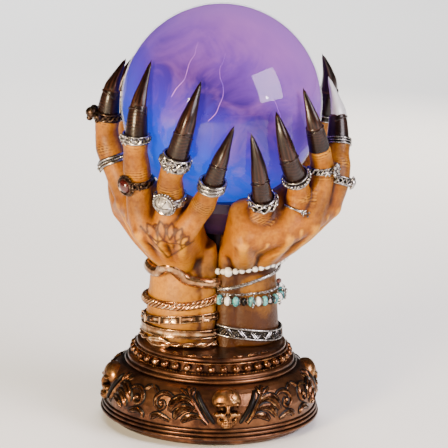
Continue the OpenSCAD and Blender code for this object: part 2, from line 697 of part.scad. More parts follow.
// ---- Hands --------------------------------------------------------------------------------------
palm_inner = 9;
big = globe_bottom + globe_d;
module palm_ball(f) {
    q = about_globe(f[0][0], f[0][1], f[0][2]);
    translate(q) sphere(r = f[0][3], $fn = 14);
}
module palm_heel(f) {
    q = about_globe(f[0][0], f[0][1], palm_inner);
    translate(q) sphere(r = f[0][3] - 1, $fn = 14);
}
module wrist_cap(s) {
    translate([seam_x + s * (wrist_offset - 1), 0, wrist_top - 5])
        cylinder(r = wrist_top_r - 1, h = 5, $fn = 36);
}
module hand(s, fingers, claw_from) {
    difference() {
        intersection() {
            union() {
                translate([seam_x + s * wrist_offset, 0, 0]) hull() {
                    translate([0, 0, base_top]) cylinder(r = wrist_low_r, h = 1, $fn = 64);
                    translate([0, 0, wrist_top - 6]) cylinder(r = wrist_top_r, h = 1, $fn = 64);
                }
                for (i = [0:4]) {
                    hull() {
                        palm_ball(fingers[i]);
                        palm_heel(fingers[i]);
                        wrist_cap(s);
                    }
                    hull() {
                        palm_ball(fingers[i]);
                        palm_heel(fingers[i]);
                        palm_ball(fingers[(i + 1) % 5]);
                        palm_heel(fingers[(i + 1) % 5]);
                        wrist_cap(s);
                    }
                }
                for (i = [0:4])
                    sweep(finger_path(fingers[i]), 0, claw_from[i] * steps, finger_sides, globe_c);
            }
            translate([seam_x + (s < 0 ? -big - clear / 2 : clear / 2), -big, 0])
                cube([big, 2 * big, 2 * big]);
        }
        translate(globe_c) sphere(r = globe_r + 2 * clear, $fn = 72);
        translate([globe_x, 0, 0]) rotate_extrude($fn = 48) collar_outline(2 * clear);
        translate([globe_x, 0, 0]) cylinder(r = tube_r + 2 * clear, h = globe_z, $fn = 48);
        translate([globe_x, 0, 0])
            cylinder(r = flange_r + 2 * clear, h = base_top + flange_h + clear, $fn = 48);
    }
}
module claws(fingers, claw_from) {
    for (i = [0:4]) let (p = finger_path(fingers[i]))
        sweep(p, claw_from[i] * steps, len(p) - 1, claw_sides, globe_c);
}
module left_hand() { color("#c98a3c") hand(-1, left_fingers, left_claw_from); }
module right_hand() { color("#c98a3c") hand(1, right_fingers, right_claw_from); }
module left_claws() { color("#2a1712") claws(left_fingers, left_claw_from); }
module right_claws() { color("#2a1712") claws(right_fingers, right_claw_from); }

// ---- Finger rings -------------------------------------------------------------------------------
ring_colour = "silver";
module left_index_skull_ring() {
    color("#5a4632") {
        wire_ring(left_index, 4, ring_wire);
        setting(left_index, 4, 5, 2);
        ring_ball(left_index, 4, 5.6, 2.6);
    }
}
module left_index_lower_ring() {
    color(ring_colour) {
        wire_ring(left_index, 2, ring_wire * 0.8, -1.2);
        wire_ring(left_index, 2, ring_wire * 0.8, 0.4);
        ring_ball(left_index, 2, 3.6, 1.4);
    }
}
module left_middle_upper_ring() {
    color(ring_colour) for (k = [-1, 1]) wire_ring(left_middle, 4, ring_wire * 0.85, 0.9 * k);
}
module left_middle_stone_ring() {
    color("#6b3a34") {
        wire_ring(left_middle, 2, ring_wire);
        setting(left_middle, 2, 8.5, 2.2);
        ring_ball(left_middle, 2, 6, 1);
    }
}
module left_third_upper_ring() {
    color(ring_colour) {
        for (k = [-1:1]) wire_ring(left_third, 4, ring_wire * 0.85, 1.6 * k);
        setting(left_third, 4, 7, 2);
    }
}
module left_third_dome_ring() {
    color(ring_colour) {
        wire_ring(left_third, 2, ring_wire);
        setting(left_third, 2, 11, 2.2);
        ring_ball(left_third, 2, 9, -0.4);
    }
}
module left_little_wrap_ring() {
    color(ring_colour) for (k = [-1:1]) wire_ring(left_little, 3, ring_wire * 0.75, 1.5 * k);
}
module right_little_cross_ring() {
    color(ring_colour) {
        for (k = [-1, 1]) wire_ring(right_little, 3, ring_wire * 0.75, 1.6 * k);
        flat_ring(right_little, 3, 3, 1);
    }
}
module right_third_upper_ring() {
    color(ring_colour) for (k = [-1, 1]) wire_ring(right_third, 3, ring_wire * 0.8, 0.9 * k);
}
module right_third_flower_ring() {
    color(ring_colour) {
        wire_ring(right_third, 1, ring_wire * 0.75);
        setting(right_third, 1, 5.4, 1.8);
    }
}
module right_middle_flower_ring() {
    color(ring_colour) {
        wire_ring(right_middle, 2, ring_wire * 0.9);
        setting(right_middle, 2, 7.5, 2);
    }
}
module right_index_plain_ring() {
    color(ring_colour) flat_ring(right_index, 3, 3.4, 1.5);
}
module right_index_lower_ring() {
    color(ring_colour) {
        for (k = [-1, 1]) wire_ring(right_index, 1, ring_wire * 0.8, 0.9 * k);
        ring_ball(right_index, 1, 4.4, 1);
    }
}
module thumb_bands() {
    color(ring_colour) {
        flat_ring(left_thumb, 3, 3.4, 1.5);
        flat_ring(right_thumb, 3, 3.4, 1.5);
    }
}

// ---- Bracelets ----------------------------------------------------------------------------------
// Radius of a wrist at height z
function wrist_r(z) =
    wrist_top_r + (wrist_low_r - wrist_top_r) * (wrist_top - z) / (wrist_top - base_top);
// Point on a bracelet: s is the side, a the angle from the outer side to the front, g its gauge
function on_wrist(s, a, z, g) =
    let (r = wrist_r(z - g / 2) + clear + g / 2)
        [seam_x + s * (wrist_offset + r * cos(a)), -r * sin(a), z, g / 2];
// A bracelet of gauge g stays open on the side where the wrists meet
widest_end = 138;
bracelet_steps = 26;
function bracelet_end(z, g) =
    min(widest_end, acos(-(wrist_offset - clear - g / 2) / (wrist_r(z) + clear + g / 2)));
function bracelet_angles(n, z, g) = [for (k = [0:n]) bracelet_end(z, g) * (2 * k / n - 1)];
// Height on a bracelet: rise above the base, lean at the outer side, lean_front at the front
function lean_z(a, rise, lean, lean_front) = base_top + rise + lean * cos(a) + lean_front * sin(a);
module band(s, rise, lean, lean_front, gauge, wide = 1) {
    z0 = base_top + rise;
    sweep([for (a = bracelet_angles(bracelet_steps, z0, gauge))
        on_wrist(s, a, lean_z(a, rise, lean, lean_front), gauge)],
        0, bracelet_steps, 8, [seam_x + s * wrist_offset, 0, z0], wide);
}
bead_pitch = 1.02;
module bead_row(s, rise, lean, gauge) {
    z0 = base_top + rise;
    run = bracelet_end(z0, gauge) * PI / 90 * (wrist_r(z0) + gauge / 2);
    for (a = bracelet_angles(floor(run / (gauge * bead_pitch)), z0, gauge))
        translate(spot(on_wrist(s, a, lean_z(a, rise, lean, 0), gauge))) sphere(d = gauge, $fn = 32);
}
bronze = "#b07c35";
// Height of the wave bangle, with its pointed crest
wave_rise = 44;
function wave_z(a) = base_top + wave_rise + 4 * cos(a) + 8 * exp(-pow((a - 62) / 16, 2));
module wave_bangle() {
    gauge = bangle_wire * 0.8;
    z0 = base_top + wave_rise;
    color(bronze)
        sweep([for (a = bracelet_angles(bracelet_steps, z0, gauge)) on_wrist(-1, a, wave_z(a), gauge)],
            0, bracelet_steps, 8, [seam_x - wrist_offset, 0, z0], 1.4);
}
// Height of the braided bangle, which climbs towards its ends
braid_rise = 27.1;
function braid_z(a) = base_top + braid_rise + 6 * pow(clampv((abs(a) - 80) / 70, 0, 1), 1.3);
module braided_bangle() {
    z0 = base_top + braid_rise;
    color(bronze)
        sweep([for (a = bracelet_angles(bracelet_steps, z0, bangle_wire))
            on_wrist(-1, a, braid_z(a), bangle_wire)],
            0, bracelet_steps, 8, [seam_x - wrist_offset, 0, z0]);
}
module stud_bangle() { color(bronze) band(-1, 17.1, -2, 2, bangle_wire * 0.85); }
module smooth_cuff() { color(bronze) band(-1, 9, 0.6, 0.4, 2.4, 2.2); }
module leaf_bangle() { color(bronze) band(-1, 3.2, 0.6, -0.4, 3.4); }
module pearl_bracelet() { color("lavender") bead_row(1, 52, 4.5, 3.4); }
module thin_bangle() { color(ring_colour) band(1, 42, 6.5, 0, 2.2); }
charm_d = 4;
chain_rise = 34.7;
chain_lean = 0.8;
module charm_chain() {
    color(ring_colour) {
        band(1, chain_rise, chain_lean, 0, 1.8);
        for (a = [22, 60])
            translate(spot(on_wrist(1, a, lean_z(a, chain_rise, chain_lean, 0), charm_d)))
                sphere(d = charm_d, $fn = 32);
    }
}
module turquoise_bracelet() { color("turquoise") bead_row(1, 30.3, -0.6, 5.4); }
module zigzag_cuff() { color(ring_colour) band(1, 7.9, -3.4, 0, 2.4, 2.4); }

base_shell();
bead_band();
skull_ornaments();
scroll_ornaments();
cartouche_bands();
bottom_cover();
cover_screws();
rubber_feet();
rear_panel();
panel_screws();
switch_body();
switch_knob();
dc_jack();
circuit_board();
board_screws();
transformer_core();
transformer_coil();
power_transistor();
heat_sink();
capacitors();
hv_lead();
power_leads();
support_tube();
tube_nut();
globe_collar();
globe_gasket();
globe_glass();
electrode_bulb();
electrode_core();
left_hand();
right_hand();
left_claws();
right_claws();
left_index_skull_ring();
left_index_lower_ring();
left_middle_upper_ring();
left_middle_stone_ring();
left_third_upper_ring();
left_third_dome_ring();
left_little_wrap_ring();
right_little_cross_ring();
right_third_upper_ring();
right_third_flower_ring();
right_middle_flower_ring();
right_index_plain_ring();
right_index_lower_ring();
thumb_bands();
wave_bangle();
braided_bangle();
stud_bangle();
smooth_cuff();
leaf_bangle();
pearl_bracelet();
thin_bangle();
turquoise_bracelet();
zigzag_cuff();
charm_chain();
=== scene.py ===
# Plasma globe in two ringed, clawed hands on a round plinth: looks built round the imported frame
import math
import random
import bmesh
import bpy
import numpy as np
from mathutils import Vector, Matrix, noise


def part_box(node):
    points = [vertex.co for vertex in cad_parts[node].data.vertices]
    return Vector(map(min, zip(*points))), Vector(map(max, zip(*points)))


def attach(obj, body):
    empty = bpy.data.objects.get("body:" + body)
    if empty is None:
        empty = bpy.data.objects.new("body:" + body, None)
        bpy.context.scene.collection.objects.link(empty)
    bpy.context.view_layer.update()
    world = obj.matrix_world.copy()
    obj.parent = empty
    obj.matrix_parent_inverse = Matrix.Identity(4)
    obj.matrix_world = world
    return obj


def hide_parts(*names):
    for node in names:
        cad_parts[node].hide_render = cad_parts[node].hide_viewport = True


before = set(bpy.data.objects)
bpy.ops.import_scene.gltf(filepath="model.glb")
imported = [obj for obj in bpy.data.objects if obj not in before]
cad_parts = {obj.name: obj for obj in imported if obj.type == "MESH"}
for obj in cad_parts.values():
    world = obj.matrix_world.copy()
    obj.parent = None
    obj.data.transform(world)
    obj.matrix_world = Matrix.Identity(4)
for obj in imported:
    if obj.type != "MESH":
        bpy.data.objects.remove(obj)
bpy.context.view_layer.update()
body = "plinth"
mm = 0.001
tau = 2 * math.pi
print("stage: frame loaded")

# ---- Camera: a long lens, a little above the globe's middle, from the left of the front
cameraSet = {
    "azimuth": -10, "elevation": 14, "distance": 1.8, "lens": 228, "roll": 1.8,
    "aim": (0, 0, 0.130), "aimRight": 0.0057, "aimDown": 0.0025,
}


def addCamera(setup):
    azimuth, elevation = math.radians(setup["azimuth"]), math.radians(setup["elevation"])
    back = Vector((math.sin(azimuth) * math.cos(elevation), -math.cos(azimuth) * math.cos(elevation),
                   math.sin(elevation)))
    right = (-back).cross(Vector((0, 0, 1))).normalized()
    up = right.cross(-back)
    roll = math.radians(setup["roll"])
    across = right * math.cos(roll) + up * math.sin(roll)
    above = up * math.cos(roll) - right * math.sin(roll)
    aim = Vector(setup["aim"]) + across * setup["aimRight"] - above * setup["aimDown"]
    data = bpy.data.cameras.new("viewCamera")
    data.lens = setup["lens"]
    data.sensor_width = 36
    data.clip_start = 0.1
    data.clip_end = 20
    camera = bpy.data.objects.new("viewCamera", data)
    bpy.context.scene.collection.objects.link(camera)
    turn = Matrix((across, above, back)).transposed().to_4x4()
    camera.matrix_world = Matrix.Translation(aim + back * setup["distance"]) @ turn
    bpy.context.scene.camera = camera


addCamera(cameraSet)

# ---- Lights and floor
lampSet = [  # name, place, aim, size, power in watts, colour, seen in reflections
    ("keyLeft", (-0.76, -0.88, 0.32), (0, 0, 0.11), 0.28, 36, (1.0, 0.78, 0.48), True),
    ("topSoft", (0.1, -0.3, 1.1), (0, 0, 0.13), 0.6, 6, (1.0, 0.92, 0.84), False),
    ("rightWindow", (0.92, -0.80, 0.78), (0, 0, 0.19), 0.72, 27, (1.0, 0.90, 0.98), True),
    ("spark", (0.80, -0.86, 0.50), (0, 0, 0.20), 0.05, 1.2, (1.0, 0.96, 0.92), True),
    ("backRim", (0.45, 0.85, 0.45), (0, 0, 0.15), 0.5, 6, (1.0, 0.84, 0.66), False),
    ("farFloor", (0.0, 1.7, 1.3), (0, 1.5, 0), 1.6, 60, (1.0, 1.0, 1.0), False),
]
floorSet = {"half": 6.0, "colour": (0.86, 0.855, 0.85)}


def addLamp(name, place, aim, size, power, colour, mirrored):
    data = bpy.data.lights.new(name, "AREA")
    data.shape = "SQUARE"
    data.size = size
    data.energy = power
    data.color = colour
    lamp = bpy.data.objects.new(name, data)
    lamp.visible_glossy = mirrored
    bpy.context.scene.collection.objects.link(lamp)
    direction = Vector(aim) - Vector(place)
    lamp.matrix_world = Matrix.Translation(place) @ direction.to_track_quat("-Z", "Y").to_matrix().to_4x4()


def addWorld():
    world = bpy.data.worlds.new("studio")
    world.use_nodes = True
    background = world.node_tree.nodes["Background"]
    direction = node(world.node_tree, "ShaderNodeTexCoord").outputs["Generated"]
    depth = node(world.node_tree, "ShaderNodeSeparateXYZ", {0: direction}).outputs[1]
    tone = node(world.node_tree, "ShaderNodeMapRange",
                {"Value": depth, "From Min": -0.6, "From Max": 0.8, "To Min": 0.14, "To Max": 0.72})
    world.node_tree.links.new(tone.outputs[0], background.inputs["Strength"])
    bpy.context.scene.world = world


for lamp in lampSet:
    addLamp(*lamp)


# ---- Materials: small helpers over the node trees
def newMaterial(name):
    material = bpy.data.materials.new(name)
    material.use_nodes = True
    tree = material.node_tree
    return material, tree, tree.nodes["Principled BSDF"]


def fill(tree, made, inputs):
    # each input takes a value or another node's output
    for key, value in inputs.items():
        if isinstance(value, bpy.types.NodeSocket):
            tree.links.new(value, made.inputs[key])
        else:
            made.inputs[key].default_value = value
    return made


def node(tree, kind, inputs=None, **settings):
    made = tree.nodes.new(kind)
    for key, value in settings.items():
        setattr(made, key, value)
    return fill(tree, made, inputs or {})


def place(tree, scale=(1, 1, 1)):
    coords = node(tree, "ShaderNodeTexCoord")
    return node(tree, "ShaderNodeMapping", {"Vector": coords.outputs["Object"], "Scale": scale}).outputs[0]


def noiseField(tree, at, scale, detail=4.0, rough=0.55, distortion=0.0):
    return node(tree, "ShaderNodeTexNoise", {"Vector": at, "Scale": scale, "Detail": detail,
                "Roughness": rough, "Distortion": distortion}).outputs["Fac"]


def ramp(tree, fac, stops):
    made = node(tree, "ShaderNodeValToRGB", {"Fac": fac})
    points = made.color_ramp.elements
    while len(points) < len(stops):
        points.new(0.5)
    for point, (position, colour) in zip(points, stops):
        point.position = position
        point.color = (*colour, 1) if len(colour) == 3 else colour
    return made.outputs["Color"]


def mixColour(tree, fac, first, second, mode="MIX"):
    made = node(tree, "ShaderNodeMix", data_type="RGBA", blend_type=mode)
    for socket, value in ((made.inputs[0], fac), (made.inputs[6], first), (made.inputs[7], second)):
        if isinstance(value, bpy.types.NodeSocket):
            tree.links.new(value, socket)
        elif isinstance(value, (int, float)):
            socket.default_value = value
        else:
            socket.default_value = (*value, 1)
    return made.outputs[2]


def maths(tree, operation, *values):
    made = node(tree, "ShaderNodeMath", operation=operation)
    for socket, value in zip(made.inputs, values):
        if isinstance(value, bpy.types.NodeSocket):
            tree.links.new(value, socket)
        else:
            socket.default_value = value
    return made.outputs[0]


def attributeOf(tree, name):
    return node(tree, "ShaderNodeAttribute", attribute_name=name).outputs["Fac"]


def bump(tree, shader, height, distance, strength=1.0):
    made = node(tree, "ShaderNodeBump", {"Height": height, "Distance": distance, "Strength": strength})
    tree.links.new(made.outputs[0], shader.inputs["Normal"])


def shine(tree, shader, fac, low, high):
    made = node(tree, "ShaderNodeMapRange", {"Value": fac, "To Min": low, "To Max": high})
    tree.links.new(made.outputs[0], shader.inputs["Roughness"])


def skinMaterial():
    material, tree, shader = newMaterial("ochre_skin")
    at = place(tree)
    patches = noiseField(tree, at, 38, 5, 0.6)
    grain = noiseField(tree, at, 620, 4, 0.65)
    base = ramp(tree, patches, [(0.30, (0.23, 0.060, 0.001)), (0.50, (0.32, 0.098, 0.001)),
                                (0.70, (0.39, 0.135, 0.002))])
    # painted highlight: paler skin on crests, swellings and the wrists, from the raised attribute
    lit = mixColour(tree, attributeOf(tree, "raised"), base, (0.64, 0.29, 0.010))
    # painted shade in creases, between the fingers, where the wrists meet the base, along the seam and over
    # the right wrist, mixed with random tone, from the cavity attribute
    shadedSkin = mixColour(tree, attributeOf(tree, "cavity"), lit, (0.024, 0.004, 0.001))
    inked = mixColour(tree, attributeOf(tree, "henna"), shadedSkin, (0.030, 0.003, 0.002))
    speckle = ramp(tree, grain, [(0.36, (0.68, 0.62, 0.58)), (0.62, (1.0, 1.0, 1.0))])
    final = mixColour(tree, 0.5, inked, speckle, "MULTIPLY")
    tree.links.new(final, shader.inputs["Base Color"])
    shine(tree, shader, patches, 0.34, 0.50)
    fill(tree, shader, {"Metallic": 0.0, "Specular IOR Level": 0.26})
    bump(tree, shader, grain, 0.00045, 0.8)
    return material


def clawMaterial():
    material, tree, shader = newMaterial("claw_lacquer")
    at = place(tree)
    streaks = noiseField(tree, place(tree, (1, 1, 0.35)), 420, 4, 0.6)
    base = ramp(tree, streaks, [(0.35, (0.003, 0.0010, 0.0007)), (0.60, (0.008, 0.0030, 0.0022)),
                                (0.82, (0.024, 0.009, 0.006))])
    # painted highlight on the raised ridges of the claws
    lit = mixColour(tree, attributeOf(tree, "raised"), base, (0.050, 0.018, 0.010))
    # painted highlight: one nail is coloured pale silver-white for a glint
    glinted = mixColour(tree, attributeOf(tree, "silver"), lit, (0.72, 0.72, 0.76))
    fill(tree, shader, {"Base Color": glinted, "Metallic": 0.1, "Specular IOR Level": 0.30})
    shine(tree, shader, noiseField(tree, at, 90), 0.20, 0.38)
    fill(tree, shader, {"Coat Weight": 0.14, "Coat Roughness": 0.14})
    bump(tree, shader, streaks, 0.0002, 0.7)
    return material


def metalMaterial(name, dark, middle, bright, low=0.24, high=0.46, scale=260):
    material, tree, shader = newMaterial(name)
    at = place(tree)
    tarnish = noiseField(tree, at, scale, 5, 0.62)
    base = ramp(tree, tarnish, [(0.30, dark), (0.52, middle), (0.74, bright)])
    lit = mixColour(tree, attributeOf(tree, "cavity"), base, tuple(c * 0.12 for c in dark))
    fill(tree, shader, {"Base Color": lit, "Metallic": 0.92})
    shine(tree, shader, tarnish, high, low)
    bump(tree, shader, noiseField(tree, at, scale * 3, 3), 0.00012, 0.7)
    return material


def glazedMaterial(name, dark, bright, scale, rough, coat=0.5):
    material, tree, shader = newMaterial(name)
    at = place(tree)
    marbling = noiseField(tree, at, scale, 5, 0.6, 0.6)
    base = ramp(tree, marbling, [(0.32, dark), (0.66, bright)])
    tree.links.new(base, shader.inputs["Base Color"])
    shine(tree, shader, marbling, rough, rough + 0.14)
    fill(tree, shader, {"Coat Weight": coat, "Coat Roughness": 0.12})
    bump(tree, shader, noiseField(tree, at, scale * 4, 3), 0.0001, 0.6)
    return material


def plasticMaterial(name, colour, rough, metal=0.0, grain=900):
    material, tree, shader = newMaterial(name)
    texture = noiseField(tree, place(tree), grain, 3)
    tree.links.new(mixColour(tree, texture, tuple(c * 0.75 for c in colour), colour),
                   shader.inputs["Base Color"])
    fill(tree, shader, {"Metallic": metal})
    shine(tree, shader, texture, rough - 0.06, rough + 0.08)
    bump(tree, shader, texture, 0.00012, 0.6)
    return material


addWorld()
print("stage: camera, lights and material helpers")

# ---- Mesh helpers: every part is a pair of arrays, points and faces
globeLow, globeHigh = (np.array(corner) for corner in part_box("globe_glass"))
globeR = round((globeHigh[0] - globeLow[0]) / 2 / mm * 2) / 2 * mm
globeC = np.array([(globeHigh[0] + globeLow[0]) / 2, 0, globeHigh[2] - globeR])


def unit(vectors):
    vectors = np.asarray(vectors, float)
    return vectors / np.maximum(np.linalg.norm(vectors, axis=-1, keepdims=True), 1e-12)


def smoothPath(stations, steps):
    # Catmull-Rom curve through rows of numbers
    rows = np.asarray(stations, float)
    padded = np.vstack([rows[:1], rows, rows[-1:]])
    curve = []
    for i in range(len(rows) - 1):
        a, b, c, d = padded[i:i + 4]
        for k in range(steps):
            t = k / steps
            curve.append(0.5 * (2 * b + (c - a) * t + (2 * a - 5 * b + 4 * c - d) * t * t
                                + (3 * b - a - 3 * c + d) * t ** 3))
    curve.append(rows[-1])
    return np.array(curve)


def pathFrames(points, centre):
    # headings, directions away from centre, and the third direction
    points = np.asarray(points, float)
    ahead = np.vstack([points[1:], points[-1:]]) - np.vstack([points[:1], points[:-1]])
    heading = unit(ahead)
    away = points - np.asarray(centre, float)
    outward = unit(away - (away * heading).sum(1, keepdims=True) * heading)
    return heading, outward, np.cross(heading, outward)


def signedAngle(angles):
    # the same angles, between minus and plus half a turn
    return np.mod(angles + math.pi, tau) - math.pi


def gridFaces(rows, columns):
    # quads between rows of points, each row a closed ring
    faces = []
    for i in range(rows - 1):
        for k in range(columns):
            j = (k + 1) % columns
            faces.append((i * columns + k, i * columns + j, (i + 1) * columns + j, (i + 1) * columns + k))
    return faces


def fan(start, columns, top):
    return [(start + k, start + (k + 1) % columns, top) for k in range(columns)]


def tube(points, radii, sides=12, centre=(0, 0, 0), wide=1.0, profile=None):
    # closed tube along points; profile(angle, share) scales the radius
    points = np.asarray(points, float)
    radii = np.broadcast_to(np.asarray(radii, float), (len(points),))
    _, outward, side = pathFrames(points, centre)
    angles = np.arange(sides) * tau / sides
    rings = []
    for i in range(len(points)):
        scale = radii[i] * (profile(angles, i / (len(points) - 1)) if profile else 1.0)
        rings.append(points[i] + np.outer(np.cos(angles) * scale, outward[i])
                     + np.outer(np.sin(angles) * scale * wide, side[i]))
    verts = np.vstack(rings)
    faces = gridFaces(len(points), sides)
    last = (len(points) - 1) * sides
    faces.append(tuple(range(sides))[::-1])
    faces.append(tuple(last + k for k in range(sides)))
    return verts, faces


def ball(centre, radii, rows=12, columns=18, axes=None):
    # closed ellipsoid; axes turns it
    axes = np.eye(3) if axes is None else np.asarray(axes, float)
    radii = np.broadcast_to(np.asarray(radii, float), (3,))
    lat = np.linspace(-math.pi / 2, math.pi / 2, rows + 1)[1:-1]
    lon = np.arange(columns) * tau / columns
    local = [(0, 0, -1)]
    local += [(math.cos(a) * math.cos(o), math.cos(a) * math.sin(o), math.sin(a)) for a in lat for o in lon]
    local.append((0, 0, 1))
    verts = np.asarray(centre, float) + (np.array(local) * radii) @ axes
    faces = [(0, 1 + (k + 1) % columns, 1 + k) for k in range(columns)]
    faces += [tuple(1 + v for v in face) for face in gridFaces(len(lat), columns)]
    top, start = len(local) - 1, 1 + (len(lat) - 1) * columns
    faces += fan(start, columns, top)
    return verts, faces


def joinParts(parts):
    verts, faces, offset = [], [], 0
    for points, polygons in (part[:2] for part in parts):
        verts.append(np.asarray(points, float))
        faces += [tuple(offset + v for v in polygon) for polygon in polygons]
        offset += len(points)
    return np.vstack(verts), faces


def toMesh(name, part):
    mesh = bpy.data.meshes.new(name)
    mesh.from_pydata([tuple(v) for v in part[0]], [], part[1])
    mesh.validate()
    mesh.update()
    return mesh


def toObject(name, part):
    made = bpy.data.objects.new(name, toMesh(name, part))
    bpy.context.scene.collection.objects.link(made)
    return made


def shadeSmooth(mesh, angle=None):
    mesh.polygons.foreach_set("use_smooth", [True] * len(mesh.polygons))
    if angle:
        mesh.set_sharp_from_angle(angle=math.radians(angle))


def applied(source):
    # the evaluated object as a plain mesh, its modifiers dropped
    graph = bpy.context.evaluated_depsgraph_get()
    mesh = bpy.data.meshes.new_from_object(source.evaluated_get(graph), depsgraph=graph)
    source.modifiers.clear()
    source.data = mesh
    return source


def coordinates(mesh):
    flat = np.empty(len(mesh.vertices) * 3)
    mesh.vertices.foreach_get("co", flat)
    return flat.reshape(-1, 3)


def setCoordinates(mesh, points):
    mesh.vertices.foreach_set("co", np.asarray(points, float).ravel())
    mesh.update()


def normalsOf(mesh):
    flat = np.empty(len(mesh.vertices) * 3)
    mesh.vertices.foreach_get("normal", flat)
    return flat.reshape(-1, 3)


def setAttribute(mesh, name, values):
    layer = mesh.attributes.get(name) or mesh.attributes.new(name, "FLOAT", "POINT")
    layer.data.foreach_set("value", np.clip(np.asarray(values, float), 0, 1))


def neighbourMean(mesh, values, rounds):
    # average over each vertex's edges, a few rounds of it
    edges = np.empty(len(mesh.edges) * 2, dtype=np.int64)
    mesh.edges.foreach_get("vertices", edges)
    edges = edges.reshape(-1, 2)
    count = np.zeros(len(mesh.vertices))
    np.add.at(count, edges[:, 0], 1)
    np.add.at(count, edges[:, 1], 1)
    current = np.array(values, float)
    for _ in range(rounds):
        total = np.zeros_like(current)
        np.add.at(total, edges[:, 0], current[edges[:, 1]])
        np.add.at(total, edges[:, 1], current[edges[:, 0]])
        current = total / np.maximum(count, 1)[:, None] if current.ndim > 1 else total / np.maximum(count, 1)
    return current


def hollowness(mesh, rounds=4, plain=0):
    # how far each vertex lies below those round it along its normal, less the broad curve where plain is set
    points = coordinates(mesh)
    depth = ((neighbourMean(mesh, points, rounds) - points) * normalsOf(mesh)).sum(1)
    return depth - neighbourMean(mesh, depth, plain) if plain else depth


def finish(piece, material, replaced, smooth=60):
    shadeSmooth(piece.data, smooth)
    piece.data.materials.clear()
    piece.data.materials.append(material)
    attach(piece, body)
    for name in replaced:
        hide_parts(name)
    return piece


def voxelSkin(name, parts, voxel, smoothing):
    # one closed skin round all the parts
    made = toObject(name, joinParts(parts))
    remesh = made.modifiers.new("skin", "REMESH")
    remesh.mode = "VOXEL"
    remesh.voxel_size = voxel
    soften = made.modifiers.new("soften", "SMOOTH")
    soften.factor = 0.5
    soften.iterations = smoothing
    return applied(made)


# ---- Geometry node trees: beads along a path, wire along a path, chain links along a path
def newTree(name, inputs):
    # a tree with its inputs, and the incoming path as a curve
    tree = bpy.data.node_groups.new(name, "GeometryNodeTree")
    tree.interface.new_socket("Geometry", in_out="INPUT", socket_type="NodeSocketGeometry")
    tree.interface.new_socket("Geometry", in_out="OUTPUT", socket_type="NodeSocketGeometry")
    for label, kind, value in inputs:
        socket = tree.interface.new_socket(label, in_out="INPUT", socket_type=kind)
        if value is not None:
            socket.default_value = value
    group, output = tree.nodes.new("NodeGroupInput"), tree.nodes.new("NodeGroupOutput")
    curve = node(tree, "GeometryNodeMeshToCurve", {"Mesh": group.outputs["Geometry"]})
    return tree, curve.outputs[0], group, output


def closeTree(tree, geometry, group, output):
    real = node(tree, "GeometryNodeRealizeInstances", {"Geometry": geometry})
    dressed = node(tree, "GeometryNodeSetMaterial",
                   {"Geometry": real.outputs[0], "Material": group.outputs["Material"]})
    tree.links.new(dressed.outputs[0], output.inputs[0])
    return tree


def buildBeadTree():
    tree, curve, group, output = newTree("beadsAlongPath", [
        ("Bead Radius", "NodeSocketFloat", 0.001), ("Count", "NodeSocketInt", 10),
        ("Smallest", "NodeSocketFloat", 1.0), ("Seed", "NodeSocketInt", 1),
        ("Detail", "NodeSocketInt", 2), ("Material", "NodeSocketMaterial", None)])
    spaced = node(tree, "GeometryNodeResampleCurve", {"Curve": curve, "Count": group.outputs["Count"]})
    bead = node(tree, "GeometryNodeMeshIcoSphere",
                {"Radius": group.outputs["Bead Radius"], "Subdivisions": group.outputs["Detail"]})
    size = node(tree, "FunctionNodeRandomValue", {"Seed": group.outputs["Seed"]}, data_type="FLOAT")
    tree.links.new(group.outputs["Smallest"], size.inputs[2])
    size.inputs[3].default_value = 1.0
    placed = node(tree, "GeometryNodeInstanceOnPoints",
                  {"Points": spaced.outputs[0], "Instance": bead.outputs["Mesh"],
                   "Scale": size.outputs[1]})
    return closeTree(tree, placed.outputs[0], group, output)


def buildWireTree():
    tree, curve, group, output = newTree("wireAlongPath", [
        ("Wire Radius", "NodeSocketFloat", 0.001), ("Sides", "NodeSocketInt", 8),
        ("Material", "NodeSocketMaterial", None)])
    section = node(tree, "GeometryNodeCurvePrimitiveCircle",
                   {"Radius": group.outputs["Wire Radius"], "Resolution": group.outputs["Sides"]})
    swept = node(tree, "GeometryNodeCurveToMesh",
                 {"Curve": curve, "Profile Curve": section.outputs[0], "Fill Caps": True})
    return closeTree(tree, swept.outputs[0], group, output)


def buildLinkTree():
    tree, curve, group, output = newTree("linksAlongPath", [
        ("Link Radius", "NodeSocketFloat", 0.001), ("Wire Radius", "NodeSocketFloat", 0.0003),
        ("Count", "NodeSocketInt", 10), ("Material", "NodeSocketMaterial", None)])
    spaced = node(tree, "GeometryNodeResampleCurve", {"Curve": curve, "Count": group.outputs["Count"]})
    loop = node(tree, "GeometryNodeCurvePrimitiveCircle",
                {"Radius": group.outputs["Link Radius"], "Resolution": 14})
    section = node(tree, "GeometryNodeCurvePrimitiveCircle",
                   {"Radius": group.outputs["Wire Radius"], "Resolution": 6})
    link = node(tree, "GeometryNodeCurveToMesh",
                {"Curve": loop.outputs[0], "Profile Curve": section.outputs[0]})
    long = node(tree, "GeometryNodeTransform", {"Geometry": link.outputs[0], "Scale": (1.45, 1, 1)})
    tangent = node(tree, "GeometryNodeInputTangent")
    aligned = node(tree, "FunctionNodeAlignEulerToVector", {"Vector": tangent.outputs[0]}, axis="X")
    index = node(tree, "GeometryNodeInputIndex")
    quarter = node(tree, "ShaderNodeMath", {0: index.outputs[0], 1: math.pi / 2}, operation="MULTIPLY")
    roll = node(tree, "ShaderNodeCombineXYZ", {"X": quarter.outputs[0]})
    turned = node(tree, "FunctionNodeRotateEuler", {"Rotation": aligned.outputs[0],
                  "Rotate By": roll.outputs[0]}, space="LOCAL")
    placed = node(tree, "GeometryNodeInstanceOnPoints",
                  {"Points": spaced.outputs[0], "Instance": long.outputs[0],
                   "Rotation": turned.outputs[0]})
    return closeTree(tree, placed.outputs[0], group, output)


beadTree, wireTree, linkTree = buildBeadTree(), buildWireTree(), buildLinkTree()


